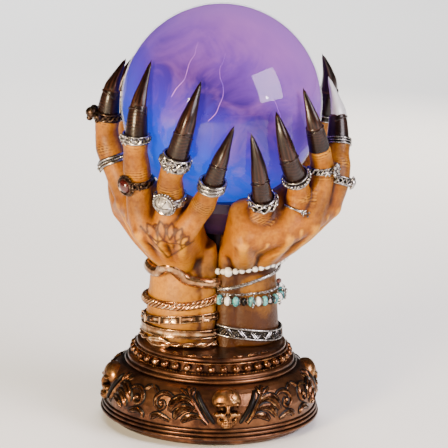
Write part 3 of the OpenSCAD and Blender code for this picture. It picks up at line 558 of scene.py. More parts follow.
def grown(tree, path, values, closed=False):
    # runs a tree on a path of points and gives back points and faces
    path = np.asarray(path, float)
    edges = [(i, i + 1) for i in range(len(path) - 1)] + ([(len(path) - 1, 0)] if closed else [])
    mesh = bpy.data.meshes.new("path")
    mesh.from_pydata([tuple(p) for p in path], edges, [])
    made = bpy.data.objects.new("path", mesh)
    bpy.context.scene.collection.objects.link(made)
    modifier = made.modifiers.new("grow", "NODES")
    modifier.node_group = tree
    sockets = {item.name: item.identifier for item in tree.interface.items_tree if item.in_out == "INPUT"}
    for label, value in values.items():
        modifier[sockets[label]] = value
    applied(made)
    verts = coordinates(made.data)
    faces = [tuple(polygon.vertices) for polygon in made.data.polygons]
    bpy.data.objects.remove(made)
    return verts, faces


def beads(path, radius, count, smallest=1.0, seed=1, detail=2, closed=False):
    return grown(beadTree, path, {"Bead Radius": radius, "Count": int(count), "Smallest": smallest,
                                  "Seed": seed, "Detail": detail}, closed)


def wire(path, radius, sides=8, closed=False):
    return grown(wireTree, path, {"Wire Radius": radius, "Sides": sides}, closed)


def links(path, radius, gauge, count):
    return grown(linkTree, path, {"Link Radius": radius, "Wire Radius": gauge, "Count": int(count)})


def pathLength(path):
    return float(np.linalg.norm(np.diff(np.asarray(path), axis=0), axis=1).sum())


print("stage: geometry node trees")

# ---- Hands
# stations: longitude from the front towards +X, latitude, stand-off from the glass, radius (mm)
fingerSet = {
    "leftIndex": {"clawFrom": 4, "stations": [
        (-80, -45, 20, 8.6), (-86, -36, 15.5, 8.2), (-89, -27, 13.4, 7.8), (-91, -16, 11.4, 7.4),
        (-89, -5, 8.8, 7.2), (-88, 9, 6.8, 5), (-98, 24, 3, 0.7)]},
    "leftMiddle": {"clawFrom": 4, "stations": [
        (-56, -49, 31, 9), (-60, -43, 23, 8.2), (-59, -32, 14.5, 7.8), (-58, -20, 10.5, 7.6),
        (-56, -10, 9.4, 7.2), (-56, 7, 6.8, 5.2), (-60, 30, 2.6, 0.7)]},
    "leftThird": {"clawFrom": 4, "stations": [
        (-46, -51, 29, 9), (-43, -47, 19, 8), (-40, -40, 13, 7.6), (-38, -30, 10, 7.4),
        (-33, -19, 9, 7.2), (-26, 4, 7, 5), (-22, 23, 2.6, 0.7)]},
    "leftLittle": {"clawFrom": 3, "stations": [
        (-33, -52, 27, 8), (-26, -49, 19, 7.2), (-19, -42, 12.5, 6.8), (-14, -32, 9, 6.4),
        (-9, -16, 7, 4.6), (-3, 0, 3.4, 0.7)]},
    "leftThumb": {"clawFrom": 3, "stations": [
        (-100, -50, 27, 9.5), (-116, -42, 24, 9), (-125, -30, 17, 8.4), (-129, -14, 11.5, 8),
        (-130, 4, 8.4, 5.8), (-128, 22, 3.2, 0.7)]},
    "rightLittle": {"clawFrom": 3, "stations": [
        (8, -55, 28, 8), (17, -54, 21, 7.4), (21, -49, 14.5, 7), (20, -43, 10.6, 6.6),
        (15, -33, 8.6, 5.8), (10, -18, 6.4, 4.2), (6, -4, 3.4, 0.7)]},
    "rightThird": {"clawFrom": 3, "stations": [
        (34, -50, 29, 8.6), (41, -43, 21, 7.2), (42, -37, 15, 6.8), (37, -29, 10.6, 6.8),
        (30, -21, 8.6, 6.2), (23, -6, 6.4, 4.6), (20, 7, 3.2, 0.7)]},
    "rightMiddle": {"clawFrom": 3, "stations": [
        (46, -44, 30, 8.6), (52, -34, 22, 7.2), (54, -25, 14.5, 7), (50, -15, 9.5, 6.6),
        (43, 0, 6.6, 4.8), (41, 17, 3.2, 0.7)]},
    "rightIndex": {"clawFrom": 3, "stations": [
        (60, -38, 28, 8.8), (62, -28, 24, 7.8), (66, -22, 18, 7.4), (71, -15, 13.5, 7.2),
        (76, -1, 9, 5), (81, 16, 5.4, 0.7)]},
    "rightThumb": {"clawFrom": 3, "stations": [
        (104, -48, 27, 9.5), (113, -38, 24, 9), (114, -24, 17.5, 8.2), (109, -9, 12.6, 7.4),
        (104, 8, 11, 5.2), (99, 24, 9, 0.7)]},
}
handSet = {
    "left": {"side": -1, "fingers": ["leftLittle", "leftThird", "leftMiddle", "leftIndex", "leftThumb"]},
    "right": {"side": 1, "fingers": ["rightLittle", "rightThird", "rightMiddle", "rightIndex", "rightThumb"]},
}
wristSet = {"offset": 20 * mm, "lowR": 23.7 * mm, "topR": 19.2 * mm, "top": 112 * mm}
skinSet = {
    "voxel": 0.8 * mm, "smoothing": 20, "plump": 0.35 * mm, "gap": 0.5 * mm, "seam": 0.2 * mm,
    "cupFoot": 20 * mm, "knuckleSwell": 0.07, "wrinklePitch": 1.7 * mm, "wrinkleDepth": 0.65 * mm,
    "veinWidth": 1.3 * mm, "veinHeight": 0.45 * mm, "tendonWidth": 3.4 * mm, "tendonHeight": 1.2 * mm,
}
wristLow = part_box("left_hand")[0][2]


def globeWay(lon, lat):
    lon, lat = math.radians(lon), math.radians(lat)
    return np.array([math.sin(lon) * math.cos(lat), -math.cos(lon) * math.cos(lat), math.sin(lat)])


def aboutGlobe(lon, lat, off):
    return globeC + (globeR + off * mm) * globeWay(lon, lat)


def fingerPath(name, steps):
    rows = [(*aboutGlobe(lon, lat, off), r * mm) for lon, lat, off, r in fingerSet[name]["stations"]]
    return smoothPath(rows, steps)


def hullOf(clouds):
    # the convex hull round some clouds of points
    cloud = bmesh.new()
    for points in clouds:
        for p in points:
            cloud.verts.new(p)
    made = bmesh.ops.convex_hull(cloud, input=cloud.verts)
    spare = [g for g in made["geom_interior"] if isinstance(g, bmesh.types.BMVert)]
    bmesh.ops.delete(cloud, geom=spare, context="VERTS")
    bmesh.ops.recalc_face_normals(cloud, faces=cloud.faces)
    cloud.verts.index_update()
    part = (np.array([tuple(v.co) for v in cloud.verts]),
            [tuple(v.index for v in f.verts) for f in cloud.faces])
    cloud.free()
    return part


def wristDisc(side, z, r, count=28):
    angles = np.arange(count) * tau / count
    return np.stack([side * wristSet["offset"] + r * np.cos(angles), r * np.sin(angles),
                     np.full(count, z)], axis=1)


def wristRadius(z):
    share = (wristSet["top"] - z) / (wristSet["top"] - wristLow)
    return wristSet["topR"] + (wristSet["lowR"] - wristSet["topR"]) * share


def distanceTo(points, line):
    # distance from each point to a polyline, and how far along it the nearest place is
    line = np.asarray(line, float)
    best = np.full(len(points), 1e9)
    along = np.zeros(len(points))
    start = 0.0
    for a, b in zip(line[:-1], line[1:]):
        d = b - a
        length = np.linalg.norm(d)
        share = np.clip(((points - a) @ d) / max(length ** 2, 1e-18), 0, 1)
        gap = np.linalg.norm(points - a - share[:, None] * d, axis=1)
        closer = gap < best
        best[closer] = gap[closer]
        along[closer] = start + share[closer] * length
        start += length
    return best, along


def onSurface(piece, guide):
    return [tuple(piece.closest_point_on_mesh(Vector(g))[1]) for g in guide]


def handParts(side, fingers):
    parts = []
    levels = np.linspace(wristLow, wristSet["top"] - 4 * mm, 14)
    rim = [(side * wristSet["offset"], 0, z) for z in levels]
    parts.append(tube(rim, [wristRadius(z) for z in levels], 40, (side, 0.3, 0)))
    for front in (-1, 1):  # the heels of the hands meet along the seam
        heel = smoothPath([(side * x * mm, front * y * mm, z * mm, r * mm) for x, y, z, r in (
            (8, 15, 50, 8), (7.5, 14, 70, 7.6), (7, 13, 92, 7.4), (7.2, 13.6, 108, 7.4), (9, 17, 119, 7))], 6)
        parts.append(tube(heel[:, :3], heel[:, 3], 20, (side, 0, 0)))
    cap = wristDisc(side, wristSet["top"] - 5 * mm, wristSet["topR"] - 1 * mm)
    lid = wristDisc(side, wristSet["top"], wristSet["topR"] - 1.5 * mm)
    knuckles, heels = [], []
    for name in fingers:
        lon, lat, off, r = fingerSet[name]["stations"][0]
        knuckles.append(ball(aboutGlobe(lon, lat, off), (r - 0.2) * mm, 8, 12)[0])
        heels.append(ball(aboutGlobe(lon, lat, 9), (r - 1.6) * mm, 8, 12)[0])
    for i in range(len(fingers)):
        j = (i + 1) % len(fingers)
        parts.append(hullOf([knuckles[i], heels[i], knuckles[j], heels[j], cap, lid]))
    for name in fingers:
        path = fingerPath(name, 10)
        k0 = fingerSet[name]["clawFrom"] * 10
        first = path[0]
        azimuth = unit(first[:2] - np.array([side * wristSet["offset"], 0]))
        foot = np.array([side * wristSet["offset"] + azimuth[0] * 10 * mm, azimuth[1] * 10 * mm,
                         wristSet["top"] - 8 * mm])
        middle = (foot + first[:3]) / 2 + np.array([azimuth[0], azimuth[1], -0.35]) * 2.2 * mm
        bone = smoothPath([(*foot, 8.5 * mm), (*middle, 8.2 * mm), (*first[:3], first[3] * 0.98)], 8)
        parts.append(tube(bone[:, :3], bone[:, 3], 20, globeC))
        parts.append(ball(first[:3], first[3] * 1.04))
        shares = np.arange(k0 + 1)
        swell = 1 + skinSet["knuckleSwell"] * np.exp(-((shares - k0 * 0.62) / 3.4) ** 2) \
            - 0.05 * np.exp(-((shares - k0 * 0.82) / 3.0) ** 2) \
            - 0.04 * np.exp(-((shares - k0 * 0.38) / 4) ** 2)
        parts.append(tube(path[:k0 + 1, :3], path[:k0 + 1, 3] * swell + skinSet["plump"], 24, globeC))
    return parts


def keepClear(points, side):
    # out of the seam, the glass and the cup under it
    out = points.copy()
    out[:, 0] = np.where(out[:, 0] * side < skinSet["seam"], side * skinSet["seam"], out[:, 0])
    rel = out - globeC
    r = np.linalg.norm(rel, axis=1)
    inside = r < globeR + skinSet["gap"]
    out[inside] = globeC + rel[inside] / r[inside, None] * (globeR + skinSet["gap"])
    cupLow, cupHigh = (np.array(corner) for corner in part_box("globe_collar"))
    cupR = (cupHigh[0] - cupLow[0]) / 2
    share = np.clip((out[:, 2] - cupLow[2]) / (cupHigh[2] - 6 * mm - cupLow[2]), 0, 1)
    wall = skinSet["cupFoot"] + (cupR - skinSet["cupFoot"]) * share ** 0.8 + skinSet["gap"]
    flat = out[:, :2] - globeC[:2]
    away = np.linalg.norm(flat, axis=1)
    caught = (away < wall) & (out[:, 2] > cupLow[2]) & (out[:, 2] < cupHigh[2] + 1 * mm) & (away > 6 * mm)
    out[caught, :2] = globeC[:2] + flat[caught] / away[caught, None] * wall[caught, None]
    out[:, 0] = np.where(out[:, 0] * side < skinSet["seam"], side * skinSet["seam"], out[:, 0])
    return out


def wrinkleField(points, fingers):
    # creases across the back of each finger's joints
    total = np.zeros(len(points))
    for number, name in enumerate(fingers):
        path = fingerPath(name, 6)
        k0 = fingerSet[name]["clawFrom"] * 6
        line = path[:k0 + 1, :3]
        gap, along = distanceTo(points, line)
        reach = gap < path[0, 3] * 1.35
        length = pathLength(line)
        _, outward, _ = pathFrames(line, globeC)
        nearest = np.clip((along / length * k0).round().astype(int), 0, k0)
        back = (unit(points - line[nearest]) * outward[nearest]).sum(1)
        jitter = 0.35 * np.sin(points @ np.array([900.0, 1400.0, 500.0]) + number)
        for centre, spread, depth in ((0.62, 3.0 * mm, 1.0), (0.96, 2.2 * mm, 0.6)):
            s = along - centre * length
            fold = np.abs(np.sin(math.pi * s / skinSet["wrinklePitch"] + jitter)) ** 0.6 - 0.62
            near = np.exp(-(s / spread) ** 2) * np.clip(back * 1.3 + 0.35, 0, 1)
            total += np.where(reach, fold * near * depth, 0)
    return total * skinSet["wrinkleDepth"]


hennaSet = {"width": 0.8 * mm, "middle": (-0.029, -0.001, 0.1065), "facing": (-0.17, -0.95, 0.24),
            "size": 24 * mm}
paintedLightSet = {  # depths at which the painted shades are full, heights at which the painted highlights are full, the most painted shade, and the painted shade of each wrist
    "crease": 0.20 * mm, "hollow": 0.9 * mm, "crest": 0.25 * mm, "swelling": 3.0 * mm, "most": 0.94,
    "right": 0.82, "left": 0.10,
}


def hennaStrokes():
    # a fan that opens upwards: two straight edges, pointed leaves between them and curls along the top
    at = lambda angle, r: (math.cos(math.radians(angle)) * r, math.sin(math.radians(angle)) * r)
    strokes = [[at(132, r) for r in np.linspace(0, 1.06, 12)], [at(34, r) for r in np.linspace(0, 0.82, 12)],
               [at(132 - 98 * u, 0.42 + 0.05 * math.sin(9 * u)) for u in np.linspace(0, 1, 14)]]
    for k in range(5):
        middle, reach = 122 - 19 * k, 1.02 - 0.06 * k
        for bend in (-1, 1):
            strokes.append([at(middle + bend * 8 * math.sin(math.pi * u), 0.46 + (reach - 0.46) * u)
                            for u in np.linspace(0, 1, 8)])
        strokes.append([(at(middle - 9, reach - 0.16)[0] + 0.07 * math.cos(t) * (1 - t / 9),
                         at(middle - 9, reach - 0.16)[1] + 0.07 * math.sin(t) * (1 - t / 9))
                        for t in np.linspace(0, 6, 12)])
    return strokes


def makeHand(hand):
    side, fingers = handSet[hand]["side"], handSet[hand]["fingers"]
    piece = voxelSkin(hand + "_hand_skin", handParts(side, fingers), skinSet["voxel"], skinSet["smoothing"])
    mesh = piece.data
    setCoordinates(mesh, keepClear(coordinates(mesh), side))
    points, normals = coordinates(mesh), normalsOf(mesh)
    lift = wrinkleField(points, fingers)
    top = wristSet["top"]
    for i, name in enumerate(fingers[:4]):
        first = fingerPath(name, 1)[0]
        azimuth = unit(first[:2] - np.array([side * wristSet["offset"], 0]))
        guide = [(side * wristSet["offset"] + azimuth[0] * 20 * mm, azimuth[1] * 20 * mm, top - 10 * mm),
                 (side * wristSet["offset"] + azimuth[0] * 20 * mm, azimuth[1] * 20 * mm, top - 2 * mm),
                 tuple((np.array([side * wristSet["offset"], 0, top]) + first[:3]) / 2
                       + np.array([azimuth[0], azimuth[1], -0.4]) * 14 * mm),
                 tuple(first[:3] + np.array([azimuth[0], azimuth[1], -0.5]) * 8 * mm)]
        tendon = onSurface(piece, smoothPath(guide, 6))
        gap, _ = distanceTo(points, tendon)
        fade = np.clip((points[:, 2] - top) / (12 * mm), 0, 1)
        lift += skinSet["tendonHeight"] * fade * np.exp(-(gap / skinSet["tendonWidth"]) ** 2)
        if i < 3:
            other = fingerPath(fingers[i + 1], 1)[0]
            middle = (first[:3] + other[:3]) / 2
            wander = np.array([math.sin(3.1 * i + side), math.cos(2.3 * i), 0]) * 3 * mm
            course = [guide[1], tuple(np.array(guide[2]) + wander), tuple(middle)]
            vein = onSurface(piece, smoothPath(course, 7))
            gap, _ = distanceTo(points, vein)
            lift += skinSet["veinHeight"] * fade * np.exp(-(gap / skinSet["veinWidth"]) ** 2)
    uneven = np.array([noise.noise(Vector(p) * 260) + 0.5 * noise.noise(Vector(p) * 620) for p in points])
    lift += uneven * 0.07 * mm
    away = np.linalg.norm(points - globeC, axis=1) - globeR
    fromSeam = side * points[:, 0]
    lift *= np.clip((away - 1.5 * mm) / (3 * mm), 0, 1) * np.clip((fromSeam - 0.6 * mm) / (2 * mm), 0, 1)
    setCoordinates(mesh, keepClear(points + normals * lift[:, None], side))
    hollow = neighbourMean(mesh, lift, 7) - lift
    broad = hollowness(mesh, 44)
    points = coordinates(mesh)
    # painted shade, kept in the cavity attribute: darker in creases (deep), in broad hollows between the
    # fingers (wide), where the wrists meet the base (low), near the seam between the hands (seam) and over
    # most of the right wrist; besides, foot darkens the wrists towards the bottom, stain adds random tone and
    # upper darkens the fingers
    deep = np.clip(hollow / paintedLightSet["crease"], 0, 1)
    wide = np.clip(broad / paintedLightSet["hollow"] - 0.05, 0, 1)
    low = np.clip(1 - (points[:, 2] - wristLow) / (3 * mm), 0, 1)
    stain = np.array([noise.noise(Vector(p) * 60) for p in points])
    below = np.clip((top + 2 * mm - points[:, 2]) / (10 * mm), 0, 1)
    seam = np.clip(1 - side * points[:, 0] / (20 * mm), 0, 1)
    shadeAndTone = below * np.clip(paintedLightSet[hand] + 0.55 * seam + 0.45 * stain, 0, 0.88)
    foot = np.clip((wristLow + 24 * mm - points[:, 2]) / (14 * mm), 0, 1)
    upper = np.clip((points[:, 2] - top - 20 * mm) / (14 * mm), 0, 1)
    shadeAndTone = shadeAndTone + 0.45 * foot + upper * np.clip(0.30 + 0.5 * stain, 0, 0.5)
    # painted highlight: paler on crests and swellings, and over the wrists (below)
    raised = -hollow / paintedLightSet["crest"] - broad / paintedLightSet["swelling"] + 0.4 * below
    setAttribute(mesh, "cavity", np.clip(0.75 * deep + 0.80 * wide + 0.6 * low + shadeAndTone, 0, paintedLightSet["most"]))
    setAttribute(mesh, "raised", np.clip(raised, 0, 0.8))
    ink = np.zeros(len(points))
    if hand == "left":  # each stroke is thrown on the skin from in front of it
        middle = np.array(hennaSet["middle"])
        facing = unit(np.array(hennaSet["facing"]))
        across = unit(np.cross((0, 0, 1), facing))
        above = np.cross(facing, across)
        for stroke in hennaStrokes():
            starts = [middle + (across * u + above * v) * hennaSet["size"] + facing * 90 * mm
                      for u, v in stroke]
            spots = [piece.ray_cast(Vector(start), Vector(-facing))[:2] for start in starts]
            spots = [tuple(spot) for hit, spot in spots if hit]
            if len(spots) > 1:
                gap, _ = distanceTo(points, spots)
                ink = np.maximum(ink, np.clip(1.5 - gap / hennaSet["width"], 0, 1))
    setAttribute(mesh, "henna", ink * 0.9)
    print("stage:", hand, "hand,", len(mesh.polygons), "faces")
    return finish(piece, skin, [hand + "_hand"], None)


skin = skinMaterial()
skinPieces = {handName: makeHand(handName) for handName in handSet}

# ---- Claws: a wrinkled dark finger end, then a keeled nail that tapers to a point
# the named nail gets a painted highlight, a pale silver-white glint
clawSet = {"sides": 36, "spacing": 0.55 * mm, "sheathEnd": 0.47, "nailStart": 0.33, "ridgePitch": 1.9 * mm,
           "ridge": 0.020, "keel": 0.12, "tip": 0.2 * mm, "glintNail": "rightIndex"}


def resampled(path, spacing):
    steps = np.linalg.norm(np.diff(path[:, :3], axis=0), axis=1)
    along = np.concatenate([[0], np.cumsum(steps)])
    count = max(int(along[-1] / spacing), 4)
    at = np.linspace(0, along[-1], count + 1)
    return np.stack([np.interp(at, along, path[:, k]) for k in range(path.shape[1])], axis=1)


def clawParts(name, phase):
    path = resampled(fingerPath(name, 20)[fingerSet[name]["clawFrom"] * 20:], clawSet["spacing"])
    share = np.linspace(0, 1, len(path))
    length = pathLength(path[:, :3])
    dorsal = lambda angles: np.clip(np.cos(angles) * 0.75 + 0.45, 0, 1)
    ends = clawSet["sheathEnd"]
    last = int(ends * len(path))
    sheath = path[:last + 1]
    radii = sheath[:, 3] * np.where(share[:last + 1] > ends - 0.07,
                                    np.sqrt(np.clip((ends - share[:last + 1]) / 0.07, 0.04, 1)), 1)
    radii = np.maximum(radii, sheath[:, 3] * 0.45)

    def creases(angles, part):
        s = part * ends * length
        wave = np.abs(np.sin(math.pi * s / clawSet["ridgePitch"] + phase + 0.8 * np.sin(3 * angles + phase)
                             + 1.1 * math.sin(5 * part + phase)))
        near = 0.35 + 0.65 * math.exp(-((part - 0.55) / 0.28) ** 2)
        return 1 + clawSet["ridge"] * (wave ** 0.7 - 0.6) * dorsal(angles) * near * min(1, part * 9)

    parts = [tube(sheath[:, :3], radii, clawSet["sides"], globeC, profile=creases)]
    begin = int(clawSet["nailStart"] * len(path))
    nail = path[begin:]
    tone = np.linspace(0, 1, len(nail))
    width = nail[:, 3] * (0.93 + 0.07 * np.sin(math.pi * np.clip(tone * 2.2, 0, 1)))
    width = np.where(tone > 0.9, np.maximum(width * (1 - (tone - 0.9) / 0.1) ** 0.7, clawSet["tip"]), width)

    def keeled(angles, part):
        turned = signedAngle(angles)
        keel = clawSet["keel"] * np.exp(-(turned / 0.42) ** 2)
        edge = 0.07 * np.exp(-((np.abs(turned) - 1.65) / 0.3) ** 2)
        under = -0.20 * np.clip(-np.cos(turned), 0, 1)
        return 0.97 + keel + edge + under + 0.012 * np.sin(14 * turned) * (1 - part)

    parts.append(tube(nail[:, :3], width, clawSet["sides"], globeC, profile=keeled))
    lip = path[begin + 1]
    heading, outward, side = pathFrames(path[begin:begin + 3, :3], globeC)
    arc = np.linspace(-1.9, 1.9, 26)
    rim = [lip[:3] + lip[3] * 1.0 * (math.cos(a) * outward[1] + math.sin(a) * side[1])
           + heading[1] * (math.cos(a) - 0.35) * 2.4 * mm for a in arc]
    parts.append(tube(rim, 0.62 * mm, 10, lip[:3]))
    return parts


def makeClaws(hand):
    parts, glintFrom, glintTo, count = [], 0, 0, 0
    for number, name in enumerate(handSet[hand]["fingers"]):
        made = clawParts(name, number * 1.3)
        if name == clawSet["glintNail"]:
            glintFrom = count + len(made[0][0])
            glintTo = glintFrom + len(made[1][0])
        count += sum(len(part[0]) for part in made)
        parts += made
    piece = toObject(hand + "_claw_set", joinParts(parts))
    mesh = piece.data
    hollow = hollowness(mesh, 1, 4)
    # painted highlight: lighter on the claws' crests
    setAttribute(mesh, "raised", np.clip(-hollow / (0.035 * mm) - 0.1, 0, 0.8))
    # painted highlight: the named nail's vertices get the pale silver-white glint through the silver
    # attribute
    silver = np.zeros(len(mesh.vertices))
    silver[glintFrom:glintTo] = 0.75
    setAttribute(mesh, "silver", silver)
    finish(piece, clawLacquer, [hand + "_claws"], 70)
    print("stage:", hand, "claws")


clawLacquer = clawMaterial()
for handName in handSet:
    makeClaws(handName)

# ---- Globe: clear shell, and the glow that fills it
def glassMaterial():
    material, tree, shader = newMaterial("globe_glass")
    fill(tree, shader, {"Base Color": (0.95, 0.94, 1.0, 1)})
    at = place(tree)
    smear = noiseField(tree, at, 60, 3)
    shine(tree, shader, smear, 0.03, 0.09)
    clear = node(tree, "ShaderNodeBsdfTransparent", {"Color": (0.95, 0.94, 1.0, 1)})
    fresnel = node(tree, "ShaderNodeFresnel", {"IOR": 1.45})
    part = maths(tree, "MULTIPLY_ADD", fresnel.outputs[0], 0.32, 0.02)
    fill(tree, shader, {"Metallic": 1.0})
    mixed = node(tree, "ShaderNodeMixShader", {0: part, 1: clear.outputs[0], 2: shader.outputs[0]})
    tree.links.new(mixed.outputs[0], tree.nodes["Material Output"].inputs["Surface"])
    return material


def glowMaterial():
    # blue below and at the left, lavender above, with pale violet veils between
    material, tree, shader = newMaterial("globe_glow")
    at = place(tree)
    split = node(tree, "ShaderNodeSeparateXYZ", {0: at})
    half = glowSet["radius"]
    acrossX = maths(tree, "MULTIPLY_ADD", split.outputs[0], 0.27 / half, 0.0)
    height = maths(tree, "MULTIPLY_ADD", split.outputs[2], 0.5 / half, -globeC[2] * 0.5 / half + 0.46)
    cloud = noiseField(tree, at, 16, 5, 0.6, 1.2)
    veil = noiseField(tree, at, 24, 4, 0.6, 1.3)
    tone = maths(tree, "ADD", maths(tree, "ADD", acrossX, height),
                 maths(tree, "MULTIPLY_ADD", cloud, 0.40, -0.20))
    colour = ramp(tree, tone, [(0.04, (0.0, 0.120, 1.0)), (0.20, (0.006, 0.055, 0.90)),
                               (0.38, (0.060, 0.024, 0.60)), (0.56, (0.060, 0.012, 0.26)),
                               (0.74, (0.24, 0.070, 0.52)), (0.94, (0.52, 0.16, 0.60))])
    pale = ramp(tree, veil, [(0.48, (0, 0, 0)), (0.74, (1, 1, 1))])
    colour = mixColour(tree, maths(tree, "MULTIPLY", pale, 0.50), colour, (0.66, 0.22, 0.66))
    edge = node(tree, "ShaderNodeLayerWeight", {"Blend": 0.35})
    rim = ramp(tree, edge.outputs["Facing"], [(0.08, (0, 0, 0)), (0.50, (1, 1, 1))])
    flush = ramp(tree, tone, [(0.15, (0.020, 0.110, 0.86)), (0.45, (0.17, 0.075, 0.74)),
                              (0.80, (0.42, 0.17, 0.66))])
    colour = mixColour(tree, maths(tree, "MULTIPLY", rim, 0.62), colour, flush)
    outline = ramp(tree, edge.outputs["Facing"], [(0.72, (0, 0, 0)), (0.93, (1, 1, 1))])
    colour = mixColour(tree, maths(tree, "MULTIPLY", outline, 0.65), colour, (0.050, 0.014, 0.26))
    dim = mixColour(tree, 0.75, colour, (0.004, 0.002, 0.012))
    fill(tree, shader, {"Base Color": dim, "Emission Color": colour, "Emission Strength": 0.85,
                        "Roughness": 0.6, "Specular IOR Level": 0.1})
    return material


def filamentMaterial():
    material, tree, shader = newMaterial("filament_light")
    at = place(tree)
    flicker = noiseField(tree, at, 90, 3)
    colour = ramp(tree, flicker, [(0.35, (0.26, 0.08, 0.80)), (0.72, (0.85, 0.26, 0.70))])
    fill(tree, shader, {"Base Color": colour, "Emission Color": colour, "Emission Strength": 0.9})
    return material


glowSet = {"radius": globeR - 1.0 * mm, "rows": 72, "columns": 96, "openBelow": 5 * mm}
filamentSet = {"count": 10, "gauge": 0.17 * mm, "seed": 11, "lift": 0.05 * mm}


def shellBall(radius, rows, columns, stopZ=None):
    # a sphere about the globe's centre, open below when a height is given
    low = -math.pi / 2 if stopZ is None else math.asin(max(-1, (stopZ - globeC[2]) / radius))
    lat = np.linspace(low, math.pi / 2, rows + 1)[:-1]
    lon = np.arange(columns) * tau / columns
    verts = [globeC + radius * np.array([math.cos(a) * math.cos(o), math.cos(a) * math.sin(o), math.sin(a)])
             for a in lat for o in lon]
    verts.append(globeC + np.array([0, 0, radius]))
    faces = gridFaces(len(lat), columns)
    start = (len(lat) - 1) * columns
    faces += fan(start, columns, start + columns)
    return np.array(verts), faces


def makeGlobe():
    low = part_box("globe_glass")[0][2]
    neckR = 11 * mm
    outer = [(neckR - 2 * mm, low), (neckR, low), (neckR, globeC[2] - math.sqrt(globeR ** 2 - neckR ** 2))]
    start = math.asin(math.sqrt(1 - (neckR / globeR) ** 2))
    outer += [(globeR * math.cos(a), globeC[2] + globeR * math.sin(a))
              for a in np.linspace(-start, math.pi / 2, 72)[1:-1]]
    columns = 112
    lon = np.arange(columns) * tau / columns
    verts = [(globeC[0] + r * math.cos(o), r * math.sin(o), z) for r, z in outer for o in lon]
    verts.append((globeC[0], 0, globeC[2] + globeR))
    faces = gridFaces(len(outer), columns)
    start = (len(outer) - 1) * columns
    faces += fan(start, columns, start + columns)
    piece = toObject("globe_shell", (np.array(verts), faces))
    finish(piece, glassMaterial(), ["globe_glass"], None)
    glow = toObject("globe_glow", shellBall(glowSet["radius"], glowSet["rows"], glowSet["columns"],
                                            globeC[2] - globeR + glowSet["openBelow"]))
    finish(glow, glowMaterial(), [], None)
    rng = random.Random(filamentSet["seed"])
    parts = []
    for _ in range(filamentSet["count"]):
        lon, lat = rng.uniform(-180, 180), rng.uniform(-35, 30)
        turn, path = rng.uniform(-20, 20), []
        for step in range(9):
            spot = globeC + (glowSet["radius"] + filamentSet["lift"]) * globeWay(lon, lat)
            path.append((*spot, filamentSet["gauge"] * (1 - step / 9.5)))
            lat += rng.uniform(3, 6.5)
            turn = turn * 0.7 + rng.uniform(-5, 5)
            lon += turn * 0.35 / max(0.3, math.cos(math.radians(lat)))
        curve = smoothPath(path, 4)
        parts.append(tube(curve[:, :3], curve[:, 3], 6, globeC))
    veins = toObject("globe_filaments", joinParts(parts))
    finish(veins, filamentMaterial(), [], None)


makeGlobe()
print("stage: globe")

# ---- Metals and stones
silver = metalMaterial("antique_silver", (0.060, 0.053, 0.050),
                       (0.33, 0.31, 0.30), (0.95, 0.93, 0.91), 0.13, 0.30, 420)
silverShade = metalMaterial("silver_shade", (0.006, 0.005, 0.005),
                            (0.030, 0.026, 0.024), (0.11, 0.10, 0.09), 0.3, 0.5, 520)
darkBronze = metalMaterial("dark_bronze", (0.012, 0.006, 0.004),
                           (0.060, 0.034, 0.022), (0.36, 0.25, 0.17), 0.20, 0.42, 520)
bangleGold = metalMaterial("bangle_gold", (0.10, 0.042, 0.017),
                           (0.44, 0.22, 0.095), (0.97, 0.72, 0.43), 0.14, 0.28, 200)
relief = metalMaterial("relief_bronze", (0.028, 0.010, 0.004),
                       (0.17, 0.066, 0.026), (0.70, 0.38, 0.16), 0.16, 0.36, 240)
garnet = glazedMaterial("garnet_stone", (0.018, 0.003, 0.003), (0.085, 0.012, 0.010), 420, 0.12)
moonstone = glazedMaterial("grey_cabochon", (0.22, 0.20, 0.19), (0.60, 0.56, 0.52), 300, 0.14)
pearl = glazedMaterial("pearl_white", (0.62, 0.58, 0.52), (0.90, 0.88, 0.84), 360, 0.18)
turquoise = glazedMaterial("turquoise_stone", (0.010, 0.12, 0.14), (0.11, 0.44, 0.45), 520, 0.20)


def makePiece(name, parts, material, replaced, smooth=50):
    # a part's third value is how dark it is
    piece = toObject(name, joinParts(parts))
    hollow = hollowness(piece.data, 2)
    shade = np.concatenate([np.full(len(part[0]), part[2] if len(part) > 2 else 0.0) for part in parts])
    setAttribute(piece.data, "cavity", np.maximum(shade, np.clip(hollow / (0.045 * mm), 0, 0.94)))
    return finish(piece, material, replaced, smooth)


# ---- Finger rings: each made at its CAD size, then chunk times as wide and as thick
chunk = 1.35
seat = 0.3 * mm


class Ring:
    # where a ring sits: z along the finger, x away from the glass
    def __init__(self, finger, station):
        path = fingerPath(finger, 2)
        i = round(station * 2)
        heading, outward, side = pathFrames(path[:, :3], globeC)
        self.o, self.z, self.x, self.y = path[i, :3], heading[i], outward[i], side[i]
        self.r = path[i, 3] + 0.35 * mm
        self.room = np.linalg.norm(self.o - globeC) - globeR - 0.3 * mm

    def reach(self, lift):
        r = self.r + lift
        if self.room > r:
            return math.radians(158)
        return math.radians(180 - min(math.degrees(math.acos(self.room / r)) + 8, 100))

    def at(self, angle, lift, z=0.0):
        r = self.r + lift
        return self.o + self.x * r * math.cos(angle) + self.y * r * math.sin(angle) + self.z * z

    def arc(self, lift, shift=0.0, sway=0.0, waves=0, phase=0.0, bulge=0.0, count=64):
        end = self.reach(lift + 1.4 * mm)
        return [self.at(a, lift + bulge * math.cos(waves * a + phase),
                        shift + sway * math.sin(waves * a + phase)) for a in np.linspace(-end, end, count)]

    def axes(self, angle=0.0):
        # rows: sideways, along the finger, and outwards at that angle
        out = self.x * math.cos(angle) + self.y * math.sin(angle)
        return np.array([np.cross(self.z, out), self.z, out])


